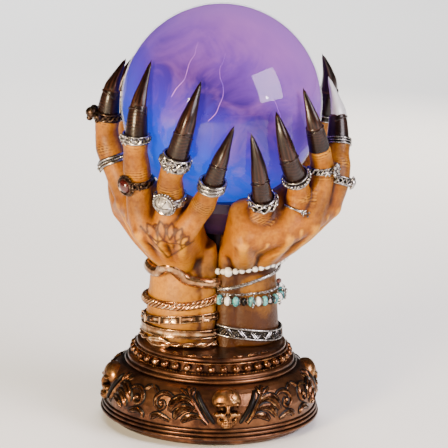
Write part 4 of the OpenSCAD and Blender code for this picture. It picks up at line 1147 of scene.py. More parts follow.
def thicker(ring, parts):
    larger = []
    for points, *rest in parts:
        rel = np.asarray(points) - ring.o
        x, y, z = rel @ ring.x, rel @ ring.y, rel @ ring.z
        old = np.hypot(x, y)
        new = (ring.r + (old - ring.r) * chunk) / np.maximum(old, 1e-9)
        larger.append((ring.o + np.outer(x * new, ring.x) + np.outer(y * new, ring.y)
                       + np.outer(z * chunk, ring.z), *rest))
    return larger


def edgeWires(ring, width, gauge):
    return [wire(ring.arc(gauge / 2, s * width / 2), gauge / 2) for s in (-1, 1)]


def twist(ring, lift, sway, waves, bulge, count, gauge, sides=6):
    # two wires that wave over each other round the band
    return [wire(ring.arc(lift * mm, 0, sway * mm, waves, p, bulge * mm, count), gauge * mm, sides)
            for p in (0, math.pi)]


def liner(ring, width, thick=0.5 * mm, shade=0.92):
    # closed band behind open work; its third value is how dark it is
    end = ring.reach(thick + 1.4 * mm)
    angles = np.linspace(-end, end, 48)
    corners = [(0.05 * mm, -width / 2), (0.05 * mm, width / 2), (thick, width / 2), (thick, -width / 2)]
    verts = [ring.at(a, lift, z) for a in angles for lift, z in corners]
    faces = [tuple(reversed(face)) for face in gridFaces(len(angles), 4)]
    last = (len(angles) - 1) * 4
    faces += [(0, 1, 2, 3), (last + 3, last + 2, last + 1, last)]
    return verts, faces, shade


def band(ring, inner, width, gauge, *linerRest):
    # liner and edge wires, sizes in mm
    return [liner(ring, inner * mm, *linerRest)] + edgeWires(ring, width * mm, gauge * mm)


def bezel(ring, radius, height, gauge, angle=0.0, shift=0.0):
    # cup with a rim, and a row of small beads round it
    radius, height, gauge = radius * chunk, height * chunk, gauge * chunk
    out = ring.axes(angle)
    centre = ring.at(angle, seat, shift)
    turn = np.linspace(0, tau, 33)[:-1]
    loop = lambda r, h: [centre + out[0] * r * math.cos(t) + out[1] * r * math.sin(t) + out[2] * h
                         for t in turn]
    base, rim = np.array(loop(radius * 0.8, 0)), np.array(loop(radius, height))
    lid = np.array(loop(radius * 0.86, height))
    floor = np.array(loop(radius * 0.80, height * 0.35))
    verts = np.vstack([base, rim, lid, floor])
    faces = gridFaces(4, 32) + [tuple(range(32))[::-1], tuple(96 + k for k in range(32))]
    count = int(tau * radius / gauge / 1.05)
    return [(verts, faces), wire(loop(radius, height), gauge / 2, 6, True),
            beads(loop(radius + gauge * 0.75, height * 0.55), gauge * 0.62, count, detail=1, closed=True)]


def dome(ring, radius, height, lift, angle=0.0, shift=0.0):
    out = ring.axes(angle)
    return ball(ring.at(angle, seat + lift * chunk, shift),
                (radius * chunk, radius * chunk, height * chunk), 12, 24, out)


def flower(ring, petals, radius, lift, angle=0.0, shift=0.0, pointed=0.42):
    out = ring.axes(angle)
    radius, lift = radius * chunk, lift * chunk
    parts = []
    for k in range(petals):
        t = tau * k / petals
        way = out[0] * math.cos(t) + out[1] * math.sin(t)
        across = np.cross(out[2], way)
        centre = ring.at(angle, lift, shift) + way * radius * 0.55
        parts.append(ball(centre, (radius * 0.52, radius * pointed * 0.55, radius * 0.22), 6, 10,
                          np.array([unit(way + out[2] * 0.25), across, out[2]])))
    parts.append(ball(ring.at(angle, lift + radius * 0.18, shift), radius * 0.30, 8, 12))
    return parts


def scrollPair(ring, size, gauge, lift, shift=0.0, angle=0.0):
    # two curls back to back on each side of the middle
    size, gauge, lift = size * chunk, gauge * chunk, lift * chunk
    parts = []
    out = ring.axes(angle)
    for s in (-1, 1):
        for up in (-1, 1):
            curl = []
            for u in np.linspace(0, 1, 18):
                t, r = u * 5.2, size * (1 - 0.78 * u)
                curl.append(ring.at(angle, lift, shift)
                            + out[0] * s * (size * 1.25 - r * math.cos(t)) + out[1] * up * r * math.sin(t)
                            - out[2] * (size * 1.25 - r * math.cos(t)) ** 2 / (2.2 * ring.r))
            parts.append(wire(curl, gauge / 2, 6))
    return parts


def smallSkull(centre, axes, size):
    # a plain little skull; axes are sideways, up and out
    size *= chunk
    parts = [ball(centre + axes[1] * size * 0.12, (size * 0.5, size * 0.52, size * 0.55), 16, 20, axes),
             ball(centre - axes[1] * size * 0.42 + axes[2] * size * 0.12,
                  (size * 0.28, size * 0.26, size * 0.3), 10, 14, axes)]
    for s in (-1, 1):
        parts.append(ball(centre + axes[0] * s * size * 0.30 - axes[1] * size * 0.12 + axes[2] * size * 0.22,
                          size * 0.17, 8, 10))
    verts, faces = joinParts(parts)
    rel = verts - centre
    u, v, w = rel @ axes[0], rel @ axes[1], rel @ axes[2]
    push = np.zeros(len(verts))
    for s in (-1, 1):
        push += np.exp(-(((u - s * size * 0.19) / (size * 0.105)) ** 2
                         + ((v + size * 0.02) / (size * 0.10)) ** 2))
    push += 0.7 * np.exp(-((u / (size * 0.06)) ** 2 + ((v + size * 0.20) / (size * 0.07)) ** 2))
    verts = verts - np.outer(push * (w > 0) * size * 0.22, axes[2])
    return [(verts, faces)]


def skullRing():
    ring = Ring("leftIndex", 4)
    parts = band(ring, 2.6, 3.2, 1.1)
    parts += twist(ring, 0.8, 1.0, 9, 0.2, 120, 0.42)
    parts = thicker(ring, parts)
    for a in (-0.75, 0, 0.75):
        parts += smallSkull(ring.at(a, 2.9 * mm), ring.axes(a), (5.2 if a == 0 else 3.6) * mm)
    makePiece("left_index_skull_set", parts, darkBronze, ["left_index_skull_ring"], 60)


def lowerIndexRing():
    ring = Ring("leftIndex", 2)
    lean = lambda a: -1.8 * mm * math.exp(-(a / 0.55) ** 2)
    end = ring.reach(2 * mm)
    angles = np.linspace(-end, end, 72)
    parts = [liner(ring, 1.6 * mm)]
    for shift in (-1.5, 1.1):
        parts.append(wire([ring.at(a, 0.8 * mm, shift * mm + lean(a)) for a in angles], 0.7 * mm))
    parts.append(beads([ring.at(a, 1.1 * mm, -0.2 * mm + lean(a)) for a in angles], 0.62 * mm, 42, 0.8, 3, 1))
    parts = thicker(ring, parts) + flower(ring, 6, 2.3 * mm, 1.2 * mm, 0, -3.2 * mm)
    makePiece("left_index_lower_set", parts, silver, ["left_index_lower_ring"])


def upperMiddleRing():
    ring = Ring("leftMiddle", 4)
    parts = band(ring, 2.4, 3.2, 1.0)
    parts += twist(ring, 0.9, 1.05, 11, 0.25, 140, 0.4)
    parts = thicker(ring, parts)
    parts += flower(ring, 5, 2.0 * mm, 1.3 * mm, -0.62) + flower(ring, 5, 2.0 * mm, 1.3 * mm, 0.62)
    parts += flower(ring, 6, 2.5 * mm, 1.5 * mm)
    makePiece("left_middle_upper_set", parts, silver, ["left_middle_upper_ring"])


def stoneRing():
    ring = Ring("leftMiddle", 2)
    parts = band(ring, 2.0, 2.6, 1.3)
    parts += twist(ring, 1.0, 1.1, 8, 0.3, 110, 0.5)
    parts = thicker(ring, parts) + bezel(ring, 4.0 * mm, 2.2 * mm, 1.0 * mm)
    for a in (-0.85, 0.85):
        parts += flower(ring, 5, 2.3 * mm, 1.3 * mm, a)
    makePiece("left_middle_stone_set", parts, darkBronze, ["left_middle_stone_ring"])
    makePiece("left_middle_stone", [dome(ring, 3.3 * mm, 2.3 * mm, 1.7 * mm)], garnet, [])


def upperThirdRing():
    ring = Ring("leftThird", 4)
    parts = band(ring, 5.0, 5.6, 1.2)
    parts += twist(ring, 1.1, 2.1, 7, 0.3, 130, 0.5)
    parts.append(beads(ring.arc(1.3 * mm), 0.75 * mm, 34, 0.8, 5, 1))
    parts = thicker(ring, parts)
    for a in (-0.95, 0.95):
        parts += scrollPair(ring, 1.5 * mm, 0.9 * mm, 1.9 * mm, 0, a)
    parts += flower(ring, 8, 3.2 * mm, 2.0 * mm)
    makePiece("left_third_upper_set", parts, silver, ["left_third_upper_ring"])


def domeRing():
    ring = Ring("leftThird", 2)
    parts = band(ring, 2.6, 3.4, 1.2)
    parts += twist(ring, 1.0, 1.4, 8, 0.3, 110, 0.5)
    parts = thicker(ring, parts) + bezel(ring, 4.6 * mm, 1.9 * mm, 1.1 * mm)
    for k in range(6):
        t = tau * k / 6
        out = ring.axes()
        way = out[0] * math.cos(t) + out[1] * math.sin(t)
        rib = [ring.at(0, seat) + (way * 4.05 * mm * math.cos(u)
                                   + out[2] * (1.2 * mm + 3.3 * mm * math.sin(u))) * chunk
               for u in np.linspace(0.1, math.pi / 2, 9)]
        parts.append(wire(rib, 0.36 * mm, 6))
    for a in (-1.0, 1.0):
        parts += scrollPair(ring, 1.6 * mm, 0.9 * mm, 1.6 * mm, 0, a)
    makePiece("left_third_dome_set", parts, silver, ["left_third_dome_ring"])
    makePiece("left_third_dome", [dome(ring, 3.9 * mm, 3.1 * mm, 1.2 * mm)], moonstone, [])


def wrapRing():
    ring = Ring("leftLittle", 3)
    end = ring.reach(2 * mm)
    angles = np.linspace(-end, end, 56)
    coils = []
    for shift, gauge in ((-1.9, 1.5), (0, 1.7), (1.9, 1.5)):
        path = [ring.at(a, gauge / 2 * mm, shift * mm + 0.9 * mm * math.sin(a)) for a in angles]
        coils.append(wire(path, gauge / 2 * mm, 10))
        coils.append(ball(path[0], gauge * 0.62 * mm, 8, 10))
        coils.append(ball(path[-1], gauge * 0.62 * mm, 8, 10))
    coils += [wire(ring.arc(1.45 * mm, s * 0.95 * mm, 0.25 * mm, 40, 0, 0, 160), 0.22 * mm, 5)
              for s in (-1, 1)]
    coils = thicker(ring, coils)
    makePiece("left_little_wrap_set", coils, silver, ["left_little_wrap_ring"])


def crossRing():
    ring = Ring("rightLittle", 3)
    parts = band(ring, 3.6, 4.2, 1.1)
    parts += twist(ring, 1.3, 1.8, 5, 0.45, 120, 0.62, 8)
    parts.append(beads(ring.arc(1.5 * mm), 0.6 * mm, 11, 0.9, 2, 2))
    parts = thicker(ring, parts)
    makePiece("right_little_cross_set", parts, silver, ["right_little_cross_ring"])


def upperThirdRight():
    ring = Ring("rightThird", 3)
    parts = band(ring, 2.6, 3.6, 0.9)
    parts.append(beads(ring.arc(1.1 * mm), 0.95 * mm, 23, 0.85, 4, 2))
    parts = thicker(ring, parts)
    makePiece("right_third_upper_set", parts, silver, ["right_third_upper_ring"])


def flowerThirdRight():
    ring = Ring("rightThird", 1)
    parts = [wire(ring.arc(0.8 * mm, 0, 0, 0), 0.8 * mm)]
    parts += flower(ring, 7, 3.0 * mm, 1.5 * mm) + flower(ring, 5, 1.7 * mm, 1.1 * mm, -0.62)
    parts += flower(ring, 5, 1.7 * mm, 1.1 * mm, 0.62)
    makePiece("right_third_flower_set", parts, silver, ["right_third_flower_ring"])


def flowerMiddleRight():
    ring = Ring("rightMiddle", 2)
    parts = band(ring, 1.8, 2.4, 1.0)
    parts += twist(ring, 0.9, 1.3, 9, 0.25, 120, 0.42)
    parts = thicker(ring, parts)
    parts += flower(ring, 8, 3.6 * mm, 1.9 * mm, 0, 0, 0.55)
    parts += flower(ring, 6, 2.2 * mm, 1.5 * mm, -0.75) + flower(ring, 6, 2.2 * mm, 1.5 * mm, 0.75)
    makePiece("right_middle_flower_set", parts, silver, ["right_middle_flower_ring"])


def plainIndexRight():
    ring = Ring("rightIndex", 3)
    parts = band(ring, 3.4, 3.4, 1.2, 1.0 * mm, 0)
    parts.append(wire(ring.arc(0.9 * mm), 0.45 * mm))
    makePiece("right_index_plain_set", parts, silver, ["right_index_plain_ring"])


def lowerIndexRight():
    ring = Ring("rightIndex", 1)
    parts = band(ring, 2.4, 3.2, 1.0)
    parts += twist(ring, 1.0, 1.2, 9, 0.3, 120, 0.42)
    parts = thicker(ring, parts)
    parts += bezel(ring, 2.2 * mm, 1.6 * mm, 0.8 * mm) + [dome(ring, 1.8 * mm, 1.4 * mm, 1.3 * mm)]
    makePiece("right_index_lower_set", parts, silver, ["right_index_lower_ring"])


def thumbBands():
    parts = []
    for finger in ("leftThumb", "rightThumb"):
        ring = Ring(finger, 3)
        parts += band(ring, 3.4, 3.4, 1.1, 1.0 * mm, 0)
    makePiece("thumb_band_pair", parts, silver, ["thumb_bands"])


for makeRing in (skullRing, lowerIndexRing, upperMiddleRing, stoneRing, upperThirdRing, domeRing, wrapRing,
                 crossRing, upperThirdRight, flowerThirdRight, flowerMiddleRight, plainIndexRight,
                 lowerIndexRight, thumbBands):
    makeRing()
print("stage: finger rings")

# ---- Bracelets: paths round a wrist, angle from the outer side to the front
baseTop = wristLow
skinTable = {"angles": 72, "heights": 32, "low": baseTop, "high": 118 * mm, "most": 7 * mm, "blur": 4.0}


def measureSkin(piece, side):
    # how far the skin stands out round the wrist: rows go up, columns go round
    rows = []
    for z in np.linspace(skinTable["low"], skinTable["high"], skinTable["heights"]):
        row = []
        for a in np.arange(skinTable["angles"]) * tau / skinTable["angles"]:
            out = Vector((side * math.cos(a), -math.sin(a), 0))
            start = Vector((side * wristSet["offset"], 0, z)) + out * 70 * mm
            hit, spot = piece.ray_cast(start, -out)[:2]
            r = (spot - Vector((side * wristSet["offset"], 0, z))).length if hit else 0
            row.append(min(max(r, wristRadius(z)), wristRadius(z) + skinTable["most"]))
        rows.append(row)
    table = np.array(rows)
    reach = range(-7, 8)
    weight = np.exp(-(np.array(reach) / skinTable["blur"]) ** 2)
    wide = np.max([np.roll(table, k, axis=1) for k in range(-2, 3)], axis=0)
    soft = sum(w * np.roll(wide, k, axis=1) for w, k in zip(weight / weight.sum(), reach))
    padded = np.pad(soft, ((2, 2), (0, 0)), "edge")
    return np.mean([padded[k:k + len(soft)] for k in range(5)], axis=0)


def skinRadius(side, angle, z):
    table = skinTables[side]
    row = (z - skinTable["low"]) / (skinTable["high"] - skinTable["low"]) * (skinTable["heights"] - 1)
    row = min(max(row, 0), skinTable["heights"] - 1.001)
    column = (angle % tau) / tau * skinTable["angles"]
    i, j = int(row), int(column) % skinTable["angles"]
    k, u, v = (j + 1) % skinTable["angles"], row - int(row), column - int(column)
    low = table[i][j] * (1 - v) + table[i][k] * v
    high = table[i + 1][j] * (1 - v) + table[i + 1][k] * v
    return low * (1 - u) + high * u


skinTables = {handSet[hand]["side"]: measureSkin(skinPieces[hand], handSet[hand]["side"]) for hand in handSet}


def wristPoint(side, angle, z, lift):
    r = max(skinRadius(side, angle, z), wristRadius(z)) + 0.25 * mm + lift
    return np.array([side * (wristSet["offset"] + r * math.cos(angle)), -r * math.sin(angle), z])


def wristPath(side, height, lift, gauge, count=90):
    r = wristRadius(height(0)) + lift
    end = min(math.radians(138), math.acos(-(wristSet["offset"] - 0.6 * mm - gauge / 2) / (r + 0.3 * mm)))
    return [wristPoint(side, a, height(a), lift) for a in np.linspace(-end, end, count)], end


def lean(rise, outer, front=0.0):
    return lambda a: baseTop + (rise + outer * math.cos(a) + front * math.sin(a)) * mm


def wristStrand(side, height, lift, gauge, sway=0.0, swell=0.0, turns=0.0, phase=0.0, count=320, sides=8):
    _, end = wristPath(side, height, lift, gauge * 2, 3)
    path = []
    for a in np.linspace(-end, end, count):
        t = turns * a + phase
        path.append(wristPoint(side, a, height(a) + sway * math.sin(t), lift + swell * math.cos(t)))
    return wire(path, gauge / 2, sides)


def edgeStrands(side, height, half, lift, gauge):
    # one strand along each edge, half above and below the middle
    return [wristStrand(side, lambda a, s=s: height(a) + s * half * mm, lift * mm, gauge * mm)
            for s in (-1, 1)]


def outFrom(side, point):
    # level direction from the wrist's middle to a point
    return unit(np.array([point[0] - side * wristSet["offset"], point[1], 0]))


def wristBand(side, height, width, thick, profile=None, count=90):
    # flat closed band, width up and down and thick outwards
    _, end = wristPath(side, height, thick / 2, thick + 1 * mm, 3)
    rows = [(-1, 0), (-1, 0.7), (-0.86, 1), (-0.4, 0.92), (0, 0.9), (0.4, 0.92), (0.86, 1), (1, 0.7), (1, 0)]
    verts = []
    for a in np.linspace(-end, end, count):
        for v, h in rows:
            z = height(a) + v * width / 2
            verts.append(wristPoint(side, a, z, h * thick * (profile(a, v) if profile else 1)))
    faces = gridFaces(count, len(rows))
    if side > 0:
        faces = [tuple(reversed(face)) for face in faces]
    last = (count - 1) * len(rows)
    caps = [tuple(range(len(rows))), tuple(last + k for k in range(len(rows)))[::-1]]
    faces += [cap[::-1] for cap in caps] if side < 0 else caps
    return np.array(verts), faces


def waveBangle():
    # the band climbs to a crest at the front, with a small ball on top
    peak, climb, spread = 62, 8, 16
    rise = lambda a: 44 + 4 * math.cos(a) + climb * math.exp(-((math.degrees(a) - peak) / spread) ** 2)
    height = lambda a: baseTop + rise(a) * mm
    path, _ = wristPath(-1, height, 1.2 * mm, 3.5 * mm, 120)
    crest = lambda angles, share: 1 + 0.16 * np.cos(angles) ** 9
    parts = [tube(path, 2.3 * mm, 20, (-wristSet["offset"], 0, height(0)), 1.6, crest)]
    at = math.radians(peak)
    parts.append(ball(wristPoint(-1, at, height(at) + 2.8 * mm, 1.6 * mm), 1.1 * mm))
    makePiece("wave_bangle_band", parts, bangleGold, ["wave_bangle"])


def braidedBangle():
    climb = lambda a: 6 * min(max((abs(math.degrees(a)) - 80) / 70, 0), 1) ** 1.3
    height = lambda a: baseTop + (27.1 + climb(a)) * mm
    parts = [wristStrand(-1, height, 2.1 * mm, 2.3 * mm, 1.45 * mm, 0.8 * mm, 17, k * tau / 3, 420, 10)
             for k in range(3)]
    parts += edgeStrands(-1, height, 2.35, 1.3, 1.0)
    makePiece("braided_bangle_strands", parts, bangleGold, ["braided_bangle"])


def studBangle():
    height = lean(17.1, -2, 2)
    ripple = lambda a, v: 1 + 0.14 * math.cos(14 * a) * (1 - abs(v))
    parts = [wristBand(-1, height, 3.8 * mm, 2.6 * mm, ripple, 140)]
    parts += edgeStrands(-1, height, 2.05, 1.1, 1.3)
    _, end = wristPath(-1, height, 2 * mm, 4 * mm, 3)
    for k, a in enumerate(np.linspace(-end + 0.12, end - 0.12, 17)):
        low, high = height(a) - 2.3 * mm, height(a) + 2.3 * mm
        if k % 2:
            bar = [wristPoint(-1, a, z, 2.3 * mm) for z in (low, (low + high) / 2, high)]
            parts.append(wire(bar, 0.75 * mm, 10))
        else:
            parts.append(ball(wristPoint(-1, a, height(a), 2.3 * mm), 1.15 * mm, 8, 12))
    makePiece("stud_bangle_band", parts, bangleGold, ["stud_bangle"])


def smoothCuff():
    height = lean(9, 0.6, 0.4)
    parts = [wristBand(-1, height, 5.4 * mm, 2.5 * mm, None, 110)]
    parts += edgeStrands(-1, height, 2.3, 2.1, 1.0)
    makePiece("smooth_cuff_band", parts, bangleGold, ["smooth_cuff"])


def leafBangle():
    height = lean(3.2, 0.6, -0.4)
    parts = [wristStrand(-1, height, 1.7 * mm, 1.9 * mm, 0.8 * mm, 0.7 * mm, 9, p, 300, 10)
             for p in (0, math.pi)]
    for s, a0 in ((1, 0.55), (-1, 1.15)):
        leaf, r = [], []
        for u in np.linspace(0, 1, 16):
            a = a0 + s * 0.62 * u
            leaf.append(wristPoint(-1, a, height(a) + (0.6 + 1.7 * math.sin(math.pi * u)) * mm * s, 3.1 * mm))
            r.append((0.35 + 1.25 * math.sin(math.pi * min(1, u * 1.15) ** 0.8)) * mm)
        vein = lambda angles, share: 1 - 0.30 * np.exp(-(signedAngle(angles) / 0.25) ** 2)
        parts.append(tube(leaf, r, 16, (-wristSet["offset"], 0, height(0)), 1.5, vein))
    makePiece("leaf_bangle_strands", parts, bangleGold, ["leaf_bangle"])


def pearlBracelet():
    height = lean(52, 4.5)
    path, _ = wristPath(1, height, 1.6 * mm, 3.4 * mm)
    count = int(pathLength(path) / (3.9 * mm))
    parts = [beads(path, 2.15 * mm, count, 0.86, 8, 2)]
    makePiece("pearl_row", parts, pearl, ["pearl_bracelet"])
    caps = [beads(path, 1.5 * mm, count * 2 - 1, 0.9, 3, 2)]
    caps.append(wire(path, 0.5 * mm, 8))
    at = math.radians(122)
    front = wristPoint(1, at, height(at), 2.0 * mm)
    makePiece("pearl_row_front", [ball(front, (2.8 * mm, 2.6 * mm, 3.2 * mm), 14, 20)], pearl, [])
    makePiece("pearl_row_spacers", caps, silver, [])


def thinBangle():
    height = lean(42, 6.5)
    parts = [wristStrand(1, height, 1.1 * mm, 2.1 * mm, 0, 0, 0, 0, 140, 14)]
    parts += [wristStrand(1, height, 1.3 * mm, 0.6 * mm, 1.0 * mm, 0.5 * mm, 36, p, 600, 6)
              for p in (0, math.pi)]
    makePiece("thin_bangle_ring", parts, silver, ["thin_bangle"])


def turquoiseBracelet():
    height = lean(30.3, -0.6)
    _, end = wristPath(1, height, 2.7 * mm, 5.4 * mm, 3)
    count = 25
    blue, white, spacers = [], [], []
    for k, a in enumerate(np.linspace(-end, end, count)):
        centre = wristPoint(1, a, height(a), 2.5 * mm)
        out = outFrom(1, centre)
        axes = np.array([np.cross((0, 0, 1), out), out, (0, 0, 1)])
        if k % 4 == 3:
            white.append(ball(centre, (2.1 * mm, 2.5 * mm, 3.1 * mm), 12, 18, axes))
        elif k % 2 == 0:
            blue.append(ball(centre, (2.15 * mm, 2.6 * mm, 3.3 * mm), 12, 18, axes))
        else:
            spacers.append(ball(centre, (1.6 * mm, 2.2 * mm, 2.9 * mm), 10, 18, axes))
            spacers += [ball(centre + (0, 0, s * 1.9 * mm), 0.85 * mm, 6, 10) for s in (-1, 1)]
    for a in np.linspace(-end, end, count)[:-1] + end / (count - 1):
        centre = wristPoint(1, a, height(a), 2.4 * mm)
        out = outFrom(1, centre)
        turn = np.linspace(0, tau, 13)[:-1]
        spacers.append(wire([centre + out * 2.0 * mm * math.cos(t) + np.array([0, 0, 2.1 * mm * math.sin(t)])
                             for t in turn], 0.45 * mm, 6, True))
    red = [ball(wristPoint(1, 0.42, baseTop + 39.6 * mm, 1.9 * mm), 1.7 * mm, 12, 18)]
    makePiece("turquoise_beads", blue, turquoise, ["turquoise_bracelet"])
    makePiece("white_beads", white, pearl, [])
    makePiece("turquoise_row_spacers", spacers, silver, [])
    makePiece("red_bead", red, garnet, [])


def charmChain():
    height = lean(34.7, 0.8)
    path, _ = wristPath(1, height, 0.9 * mm, 1.8 * mm)
    parts = [links(path, 0.75 * mm, 0.26 * mm, int(pathLength(path) / (1.75 * mm)))]
    for k, a in enumerate((0.05, 0.38, 0.72, 1.05, 1.5)):
        drop = (3.6 + 1.4 * (k % 3)) * mm
        top = wristPoint(1, a, height(a) - 0.6 * mm, 3.8 * mm)
        low = wristPoint(1, a + 0.03, height(a) - drop, 5.6 * mm)
        parts.append(links([tuple(top), tuple((top + low) / 2), tuple(low)], 0.6 * mm, 0.2 * mm, 4))
        out = outFrom(1, low)
        axes = np.array([np.cross((0, 0, 1), out), (0, 0, 1), out])
        if k % 2:
            parts.append(ball(low - axes[1] * 1.2 * mm, (1.35 * mm, 1.6 * mm, 0.7 * mm), 10, 14, axes))
        else:
            parts.append(ball(low - axes[1] * 1.0 * mm, 1.15 * mm, 10, 14))
            parts.append(ball(low - axes[1] * 2.3 * mm, 0.6 * mm, 8, 10))
    makePiece("charm_chain_links", parts, silver, ["charm_chain"])


def zigzagCuff():
    height = lean(8.6, -3.4)
    makePiece("zigzag_cuff_plate", [wristBand(1, height, 6.0 * mm, 1.2 * mm, None, 110)], silverShade, [])
    parts = edgeStrands(1, height, 3.0, 1.5, 1.5)
    _, end = wristPath(1, height, 1.6 * mm, 3 * mm, 3)
    steps = 34
    for shift in (0, 0.9):
        path = [wristPoint(1, a, height(a) + (1.9 if k % 2 else -1.9) * mm, 1.6 * mm)
                for k, a in enumerate(np.linspace(-end, end, steps) + shift * end / steps) if a < end]
        parts.append(wire(path, 0.62 * mm, 6))
    _, end = wristPath(1, height, 1.6 * mm, 4 * mm, 3)
    for k, a in enumerate(np.linspace(-end, end, steps)[:-1] + end / (steps - 1)):
        z = height(a) + (-1.1 if k % 2 else 1.1) * mm
        parts.append(ball(wristPoint(1, a, z, 1.5 * mm), 0.45 * mm, 5, 8))
    makePiece("zigzag_cuff_band", parts, silver, ["zigzag_cuff"])


for makeBracelet in (waveBangle, braidedBangle, studBangle, smoothCuff, leafBangle, pearlBracelet, thinBangle,
                     turquoiseBracelet, charmChain, zigzagCuff):
    makeBracelet()
print("stage: bracelets")

# ---- Plinth: beads, skulls, scrolls and bands over the turned shell
baseSet = {"lowR": 67.5 * mm, "topR": 55 * mm, "low": 13 * mm, "high": 37.5 * mm, "curlR": 44.6 * mm,
           "beadR": 49.6 * mm, "beadZ": 46 * mm, "beadSize": 2.6 * mm, "beads": 40}


def bodyRadius(z):
    share = min(max((z - baseSet["low"]) / (baseSet["high"] - baseSet["low"]), 0), 1)
    return baseSet["topR"] + (baseSet["lowR"] - baseSet["topR"]) * math.sqrt(1 - share ** 2)


def onPlinth(lon, z, lift=0.0, side=1, quarter=0):
    r = bodyRadius(z) + lift
    a = math.radians(side * lon + 90 * quarter)
    return np.array([r * math.sin(a), -r * math.cos(a), z])


def plinthStroke(stations, side, quarter, profile=None, wide=1.0, sides=16, sink=0.25):
    # stations are longitude, height and half-width in mm; the stroke is half sunk in the body
    rows = smoothPath([(lon, z, r) for lon, z, r in stations], 8)
    path = [onPlinth(lon, z * mm, r * mm * (0.5 - sink), side, quarter) for lon, z, r in rows]
    return tube(path, rows[:, 2] * mm, sides, (0, 0, 20 * mm), wide, profile)


def leafProfile(angles, share):
    # raised midrib, hollow on each side of it, and a lobed edge
    turned = np.abs(signedAngle(angles))
    rib = 0.20 * np.exp(-(turned / 0.22) ** 2)
    valley = -0.26 * np.exp(-((turned - 0.62) / 0.30) ** 2)
    lobes = 0.24 * np.abs(np.sin(math.pi * share * 5)) ** 0.7 * np.exp(-((turned - 1.5) / 0.45) ** 2)
    return 0.86 + rib + valley + lobes


def ropeProfile(angles, share):
    turned = np.abs(signedAngle(angles))
    return 0.90 + 0.12 * np.exp(-(turned / 0.3) ** 2) - 0.14 * np.exp(-((turned - 0.75) / 0.25) ** 2)


scrollSet = {  # strokes of one half quarter: stations, cross-section, how much wider than high
    "stem": ([(10.5, 16, 0.9), (12.8, 19, 1.2), (16.2, 25, 1.3), (20, 31, 1.2), (22.6, 34.6, 0.8)],
             ropeProfile, 1.0),
    "sprayUp": ([(20.5, 31.5, 0.7), (22.0, 34.5, 1.3), (23.2, 36.6, 0.5)], leafProfile, 1.0),
    "sprayOut": ([(20.8, 31.0, 0.7), (24.4, 33.6, 1.4), (27.6, 35.2, 0.5)], leafProfile, 1.0),
    "sprayIn": ([(20.0, 31.5, 0.7), (19.6, 34.4, 1.1), (19.0, 36.4, 0.4)], leafProfile, 1.0),
    "leafUpper": ([(18.2, 26.5, 0.8), (21.5, 29.6, 1.6), (26.0, 29.6, 2.4), (29.6, 26.2, 2.2),
                   (31.6, 21.6, 0.7)], leafProfile, 1.25),
    "leafMiddle": ([(16.6, 23.0, 0.7), (20.5, 25.0, 1.5), (24.6, 24.2, 2.0), (27.6, 20.6, 1.5),
                    (28.6, 17.6, 0.5)], leafProfile, 1.25),
    "leafLower": ([(14.0, 19.5, 0.6), (17.6, 20.4, 1.3), (21.4, 19.2, 1.6), (24.6, 16.2, 0.5)],
                  leafProfile, 1.2),
    "curl": ([(29.5, 29.5, 0.6), (33.2, 31.6, 1.2), (37.4, 31.6, 1.5), (40.4, 28.4, 1.5), (40.0, 24.4, 1.3),
              (37.2, 22.4, 1.2), (35.0, 24.4, 1.0), (36.0, 27.0, 0.8), (37.8, 26.4, 0.7)], ropeProfile, 1.0),
    "curlLow": ([(31.0, 16.0, 0.6), (34.4, 17.6, 1.3), (38.4, 18.6, 1.5), (41.6, 17.0, 1.2),
                 (41.4, 14.9, 0.8)], leafProfile, 1.1),
    "curlLeaf": ([(39.6, 31.0, 0.6), (42.2, 33.2, 1.2), (44.4, 34.6, 0.5)], leafProfile, 1.1),
}
bandSet = {"shadowRim": 0.75,  # how far the painted shadow rim shows round its stroke
           "stations": [(17, 35.0, 0.7), (16.4, 33.4, 1.3), (15, 30, 1.6), (11, 23, 1.5), (7.6, 17.6, 1.2),
                        (6.8, 16.2, 0.6)]}


def shadowProfile(angles, share):
    # low and wide, a painted shadow: a dark rim that shows as a thin line round a stroke
    return np.minimum(1.0, 0.30 / np.maximum(np.abs(np.cos(angles)), 0.05))


def makeScrolls():
    parts, bands, shadowRims = [], [], []
    for quarter in range(4):
        for side in (-1, 1):
            for name, (stations, profile, wide) in scrollSet.items():
                if quarter == 2 and not name.startswith("curl"):  # the back leaves room for the panel
                    continue
                parts.append(plinthStroke(stations, side, quarter, profile, wide))
                # painted shadow: a wider, low black copy of each stroke shows as a dark rim round it
                wider = [(lon, z, r + bandSet["shadowRim"]) for lon, z, r in stations]
                shadowRims.append(plinthStroke(wider, side, quarter, shadowProfile, wide, 16, 0.5))
            parts.append(ball(onPlinth(37.3, 26.6 * mm, 0.7 * mm, side, quarter), 1.15 * mm, 10, 14))
            parts.append(ball(onPlinth(19.0, 29.0 * mm, 0.5 * mm, side, quarter), 0.9 * mm, 8, 12))
            if quarter != 2:
                bands.append(plinthStroke(bandSet["stations"], side, quarter, None, 1.0, 18))
    makePiece("acanthus_scrolls", parts, relief, ["scroll_ornaments"])
    makePiece("black_v_bands", bands, lacquer, ["cartouche_bands"])
    makePiece("painted_shadow_rims", shadowRims, lacquer, [])


def makeBeads():
    turn = np.linspace(0, tau, 161)[:-1]
    ringAt = lambda r, z: [(r * math.cos(t), r * math.sin(t), z) for t in turn]
    parts = [beads(ringAt(baseSet["beadR"], baseSet["beadZ"]), baseSet["beadSize"], baseSet["beads"],
                   0.94, 6, 3, closed=True)]
    small = ringAt(baseSet["beadR"] + 0.2 * mm, baseSet["beadZ"] - 3.2 * mm)
    parts.append(beads(small, 0.62 * mm, 150, 0.9, 2, 1, closed=True))
    parts.append(wire(ringAt(baseSet["beadR"] - 0.9 * mm, baseSet["beadZ"] + 3.1 * mm), 0.55 * mm, 8, True))
    makePiece("bead_row", parts, relief, ["bead_band"])


